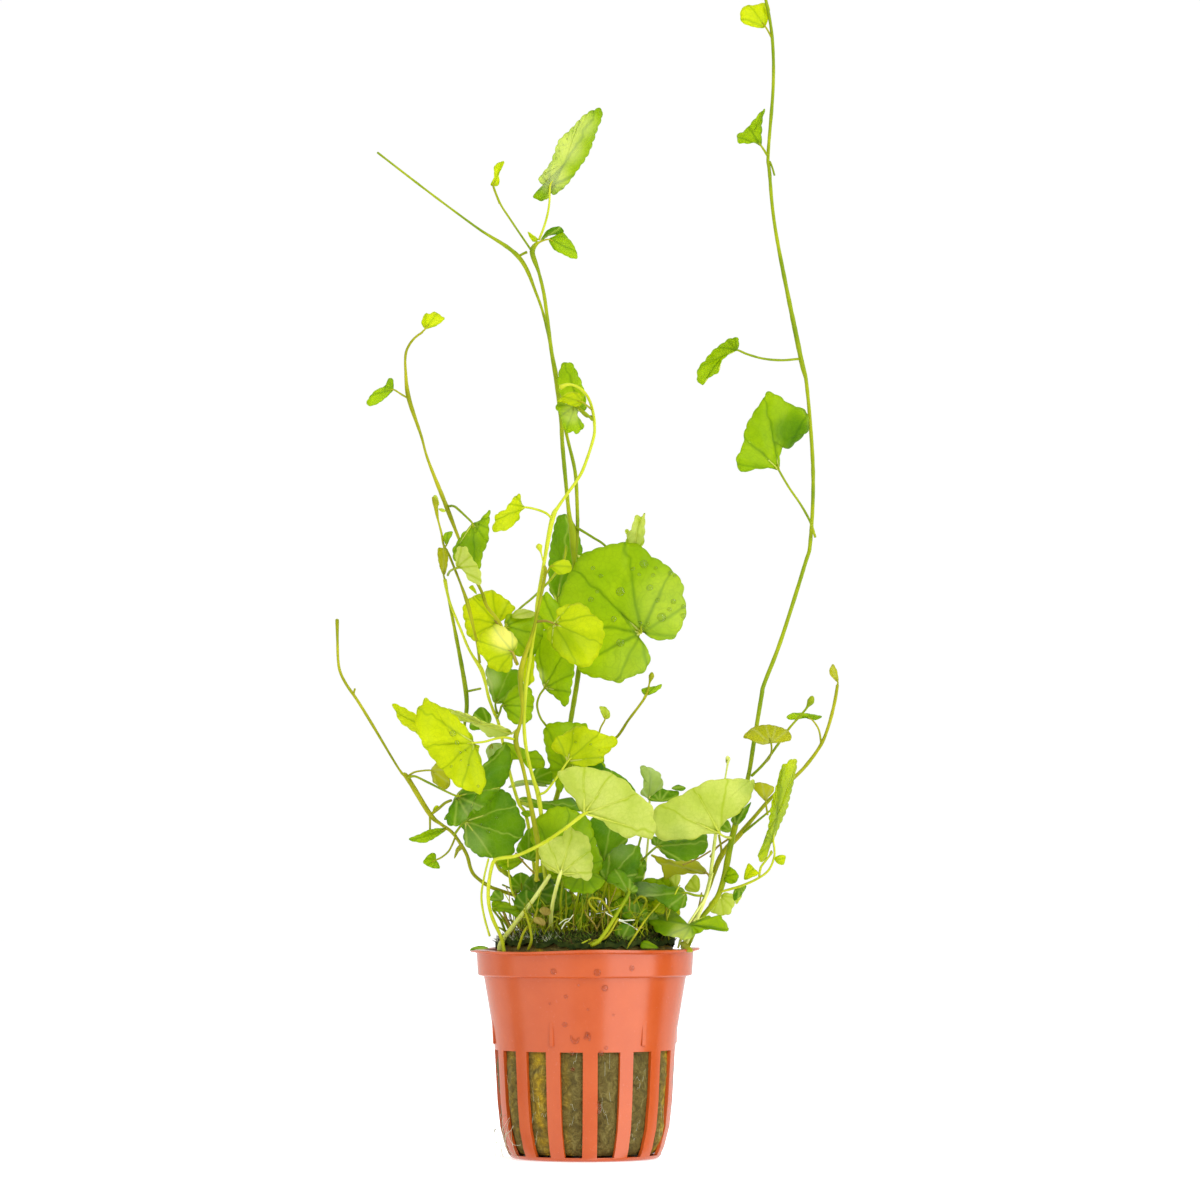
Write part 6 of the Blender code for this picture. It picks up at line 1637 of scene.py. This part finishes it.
def add_foot_leaves(materials, chance):
    """Small round leaves low in the mat, between and behind the runners."""
    groups = {look: bmesh.new() for look in ("dark", "fresh", "bright")}
    for index in range(FOOT_LEAVES):
        low = index < LOW_FOOT_LEAVES
        x, y = chance.uniform(-17, 22), chance.uniform(-12, 15)
        z = chance.uniform(58.5, 66) if low else chance.uniform(64, 74)
        size = chance.uniform(1.6, 3.4) if low else chance.uniform(2.4, 4.4)
        lean = chance.uniform(-0.6, 0.6)
        outline = [
            (x + size * reach * math.sin(turn + lean), z + size * reach * math.cos(turn + lean))
            for turn, reach in FOOT_LEAF_OUTLINE
        ]
        foot = 55.5
        stalk = [(x - 0.5 * size * lean, foot, y), (x - 0.3 * size * lean, 0.5 * (foot + z), y), (x, z, y)]
        look = chance.choices(("dark", "fresh", "bright"), (6, 3, 1))[0]
        slope = (chance.uniform(-0.5, 0.5), chance.uniform(-0.3, 1.2))
        add_leaf(groups[look], stalk, outline, slope, 300 + index, **FOOT_LEAF_FORM)
    for look, shape in groups.items():
        add_leaf_piece("foot_leaves_" + look, shape, look, materials, "olive", [])


def add_wool_fibres(materials):
    """Loose threads of rockwool that hang out of the slots, the longer ones low at the left."""
    shape = bmesh.new()
    chance = random.Random(23)
    for index in range(WOOL_FIBRES):
        stray = index < STRAY_FIBRES
        slot = chance.randrange(SLOT_COUNT) + 0.5 + chance.uniform(-0.22, 0.22)
        angle = math.radians(FIRST_BAR_DEGREES) + slot * math.tau / SLOT_COUNT
        if stray:
            angle = math.radians(chance.uniform(-88, -52))
        height = chance.uniform(1.5, 8) if stray else chance.uniform(3, 26)
        turn = chance.uniform(0, math.tau)
        out, bow, swing, climb, thick = (0.9, 1.3, 0.28, 9, 0.045) if stray else (0.2, 0.1, 0.07, 4, 0.022)
        centres = []
        for share in [step / 8 for step in range(9)]:
            radius = 20.6 + (height - 2) * 0.075 + out + bow * math.sin(share * math.pi)
            bend = angle + (share - 0.5) * swing * math.cos(turn)
            rise = (share - 0.5) * climb * math.sin(turn) + 0.6 * math.sin(share * 7 + turn)
            centres.append(around(radius, bend, max(0.6, height + rise)))
        sweep(shape, centres, [thick] * 9, 5, 0)
    new_piece("wool_fibres", finished("fibres", shape, [materials["grey_thread"]]), [])


def add_drop(shape, centre, normal, radius, flatness):
    """One water drop: a low dome that sits on a surface and is closed below."""
    across = normal.orthogonal().normalized()
    beside = normal.cross(across)
    rings = []
    for level in (-0.25, 0.0, 0.35, 0.7, 0.92):
        middle = centre + normal * level * flatness * radius
        rings.append(ring(shape, middle, across, beside, math.sqrt(1 - level * level) * radius, 14))
    polish(bridge(shape, rings) + [shape.faces.new(rings[0][::-1]), shape.faces.new(rings[-1])])


def add_leaf_drops(water):
    """Water drops on the leaves that face the front: each lies where its line of sight first meets a leaf."""
    shape = bmesh.new()
    bpy.context.view_layer.update()
    graph = bpy.context.evaluated_depsgraph_get()
    eye = EYE * MM
    for x, z, radius in LEAF_DROPS:
        ray = (seen(x, z, 0.0) - eye).normalized()
        hit, place, normal, *_ = bpy.context.scene.ray_cast(graph, eye, ray)
        if hit:
            facing = normal if normal.dot(ray) < 0 else -normal
            add_drop(shape, place, facing, radius * MM, 0.42)
    new_piece("leaf_drops", finished("leaf_drops", shape, [water]), [])


def add_pot_drops(water):
    """Drops and short runs of water on the pot's wall."""
    shape = bmesh.new()
    for angle, height, radius, flatness in POT_DROPS:
        turn = math.radians(angle)
        out = Vector((math.sin(turn), -math.cos(turn), -0.12)).normalized()
        add_drop(shape, around(pot_radius(height), turn, height), out, radius * MM, flatness)
    for path in POT_RUNS:
        knots = spline(path, 0.35)
        centres = [around(pot_radius(knot[1]) + 0.02, math.radians(knot[0]), knot[1]) for knot in knots]
        sweep(shape, centres, [radius for _, _, radius in knots], 10, 0)
    new_piece("pot_drops", finished("pot_drops", shape, [water]), [])


def pot_radius(height):
    """The outer radius of the pot at this height."""
    rows = POT_OUTSIDE + POT_BRIM[1:3]
    for (low_radius, low), (high_radius, high) in zip(rows, rows[1:]):
        if low <= height <= high:
            return low_radius + (high_radius - low_radius) * (height - low) / (high - low)
    return rows[-1][0]


def add_leaf_piece(piece, shape, look, materials, stalk_look, nodes):
    """Finish leaves of one look as a piece, with the material of each side and of their stalks."""
    looks = ("leaf_" + look, "leaf_fresh" if look in UNDER_LOOKS else "leaf_pale", stalk_look)
    mesh = finished(piece, shape, [materials[name] for name in looks])
    new_piece(piece, mesh, nodes)


def add_stems(materials):
    """Every stem with its twigs and the small leaves that grow on it."""
    for name, (start, end, points) in STEMS.items():
        shape = bmesh.new()
        add_tube(shape, points, start, end, sides=12, step=0.7)
        for stem, thick, thin, twig in TWIGS:
            if stem == name:
                add_tube(shape, twig, thick, thin, sides=8, step=0.5)
        look = materials[STEM_LOOK.get(name, "green")]
        new_piece(name + "_skin", finished(name, shape, [look]), [name])
    for index, (name, stalk, outline, slope, look) in enumerate(SMALL_LEAVES):
        shape = bmesh.new()
        add_leaf(shape, stalk, outline, slope, 100 + index, under=look in UNDER_LOOKS, **SMALL_LEAF_FORM)
        add_leaf_piece("small_leaf_%02d" % index, shape, look, materials, "olive", [name])


def add_leaves(materials):
    """Every leaf that has a node of its own."""
    for index, (name, (stalk, outline, slope, look, stalk_look, form)) in enumerate(LEAVES.items()):
        shape = bmesh.new()
        under = look in UNDER_LOOKS
        add_leaf(shape, stalk, outline, slope, index, under=under, **form)
        add_leaf_piece(name + "_blade", shape, look, materials, stalk_look, [name])


def add_little_leaves(materials):
    """The small leaves, buds and scraps without a node, in one piece for each side and look."""
    groups = {}
    for index, (group, stalk, outline, slope, look) in enumerate(LITTLE_LEAVES):
        groups.setdefault((group, look), []).append((index, stalk, outline, slope))
    for (group, look), leaves in groups.items():
        shape = bmesh.new()
        for index, stalk, outline, slope in leaves:
            add_leaf(shape, stalk, outline, slope, 200 + index, under=look in UNDER_LOOKS, **LITTLE_LEAF_FORM)
        piece = "little_leaves_%s_%s" % (group, look)
        add_leaf_piece(piece, shape, look, materials, "olive", [])


def add_camera():
    """The camera at the front viewpoint."""
    data = bpy.data.cameras.new("front_camera")
    data.lens = LENS
    data.clip_end = 20.0
    camera = bpy.data.objects.new("front_camera", data)
    camera.location = EYE * MM
    camera.rotation_euler = (AIM - EYE).to_track_quat("-Z", "Y").to_euler()
    bpy.context.scene.collection.objects.link(camera)
    bpy.context.scene.camera = camera


def add_key_light():
    """One soft square light, in front and above at the right."""
    data = bpy.data.lights.new("key", "AREA")
    data.size = KEY_SIZE
    data.energy = KEY_POWER
    light = bpy.data.objects.new("key", data)
    light.location = KEY_PLACE
    light.rotation_euler = (KEY_AIM - KEY_PLACE).to_track_quat("-Z", "Y").to_euler()
    bpy.context.scene.collection.objects.link(light)


def add_surround():
    """A surround that is plain white to the camera, and lights the plant by direction."""
    world = bpy.data.worlds.new("studio")
    world.use_nodes = True
    make = node_maker(world)
    apart = make("SeparateXYZ", {"Vector": make("TexCoord").outputs["Generated"]})
    turn = maths(make, "ARCTAN2", apart.outputs["X"], times(make, apart.outputs["Y"], -1.0))
    place = maths(make, "MULTIPLY_ADD", turn, 1 / math.tau, 0.5)
    stops = [(0.5 + degrees / 360, grey(level / 3)) for degrees, level in STUDIO_LEVELS]
    glow = mix(make, 1.0, ramp(make, place, stops), grey(3.0), "MULTIPLY")
    glow = mix(make, make("LightPath").outputs["Is Camera Ray"], glow, grey(1.01))
    feed(world.node_tree.nodes["Background"], {"Color": glow})
    bpy.context.scene.world = world
    bpy.context.scene.view_settings.view_transform = "Standard"


def add_floor():
    """A plain pale floor, which glossy surfaces don't mirror."""
    shape = bmesh.new()
    bmesh.ops.create_grid(shape, x_segments=2, y_segments=2, size=3.0)
    for vertex in shape.verts:
        vertex.co.z = -0.0002
    material, shader, _ = new_material("paper")
    feed(shader, {
        "Base Color": (0.85, 0.85, 0.85, 1.0), "Roughness": 0.9, "Emission Color": (1.0, 1.0, 1.0, 1.0),
        "Emission Strength": 0.6,
    })
    floor = bpy.data.objects.new("floor", finished("floor", shape, [material]))
    bpy.context.scene.collection.objects.link(floor)
    floor.visible_glossy = False


MATERIALS = {"leaf_" + look: leaf_material("leaf_" + look, look, look in UNDER_LOOKS) for look in LEAF_LOOKS}
MATERIALS.update({look: stem_material(look) for look in STEM_LOOKS})
MATERIALS.update({look: mottled_material(look) for look in MOTTLED_LOOKS})
add_camera()
add_pot()
add_rockwool()
add_stems(MATERIALS)
add_leaves(MATERIALS)
add_little_leaves(MATERIALS)
add_moss(MATERIALS)
add_tangle(MATERIALS)
add_wool_fibres(MATERIALS)
add_leaf_drops(water_material("water_on_leaf", WATER_EDGE_SHADE_ON_LEAF))
add_pot_drops(water_material("water_on_pot", WATER_EDGE_SHADE_ON_POT))
add_surround()
add_floor()
add_key_light()
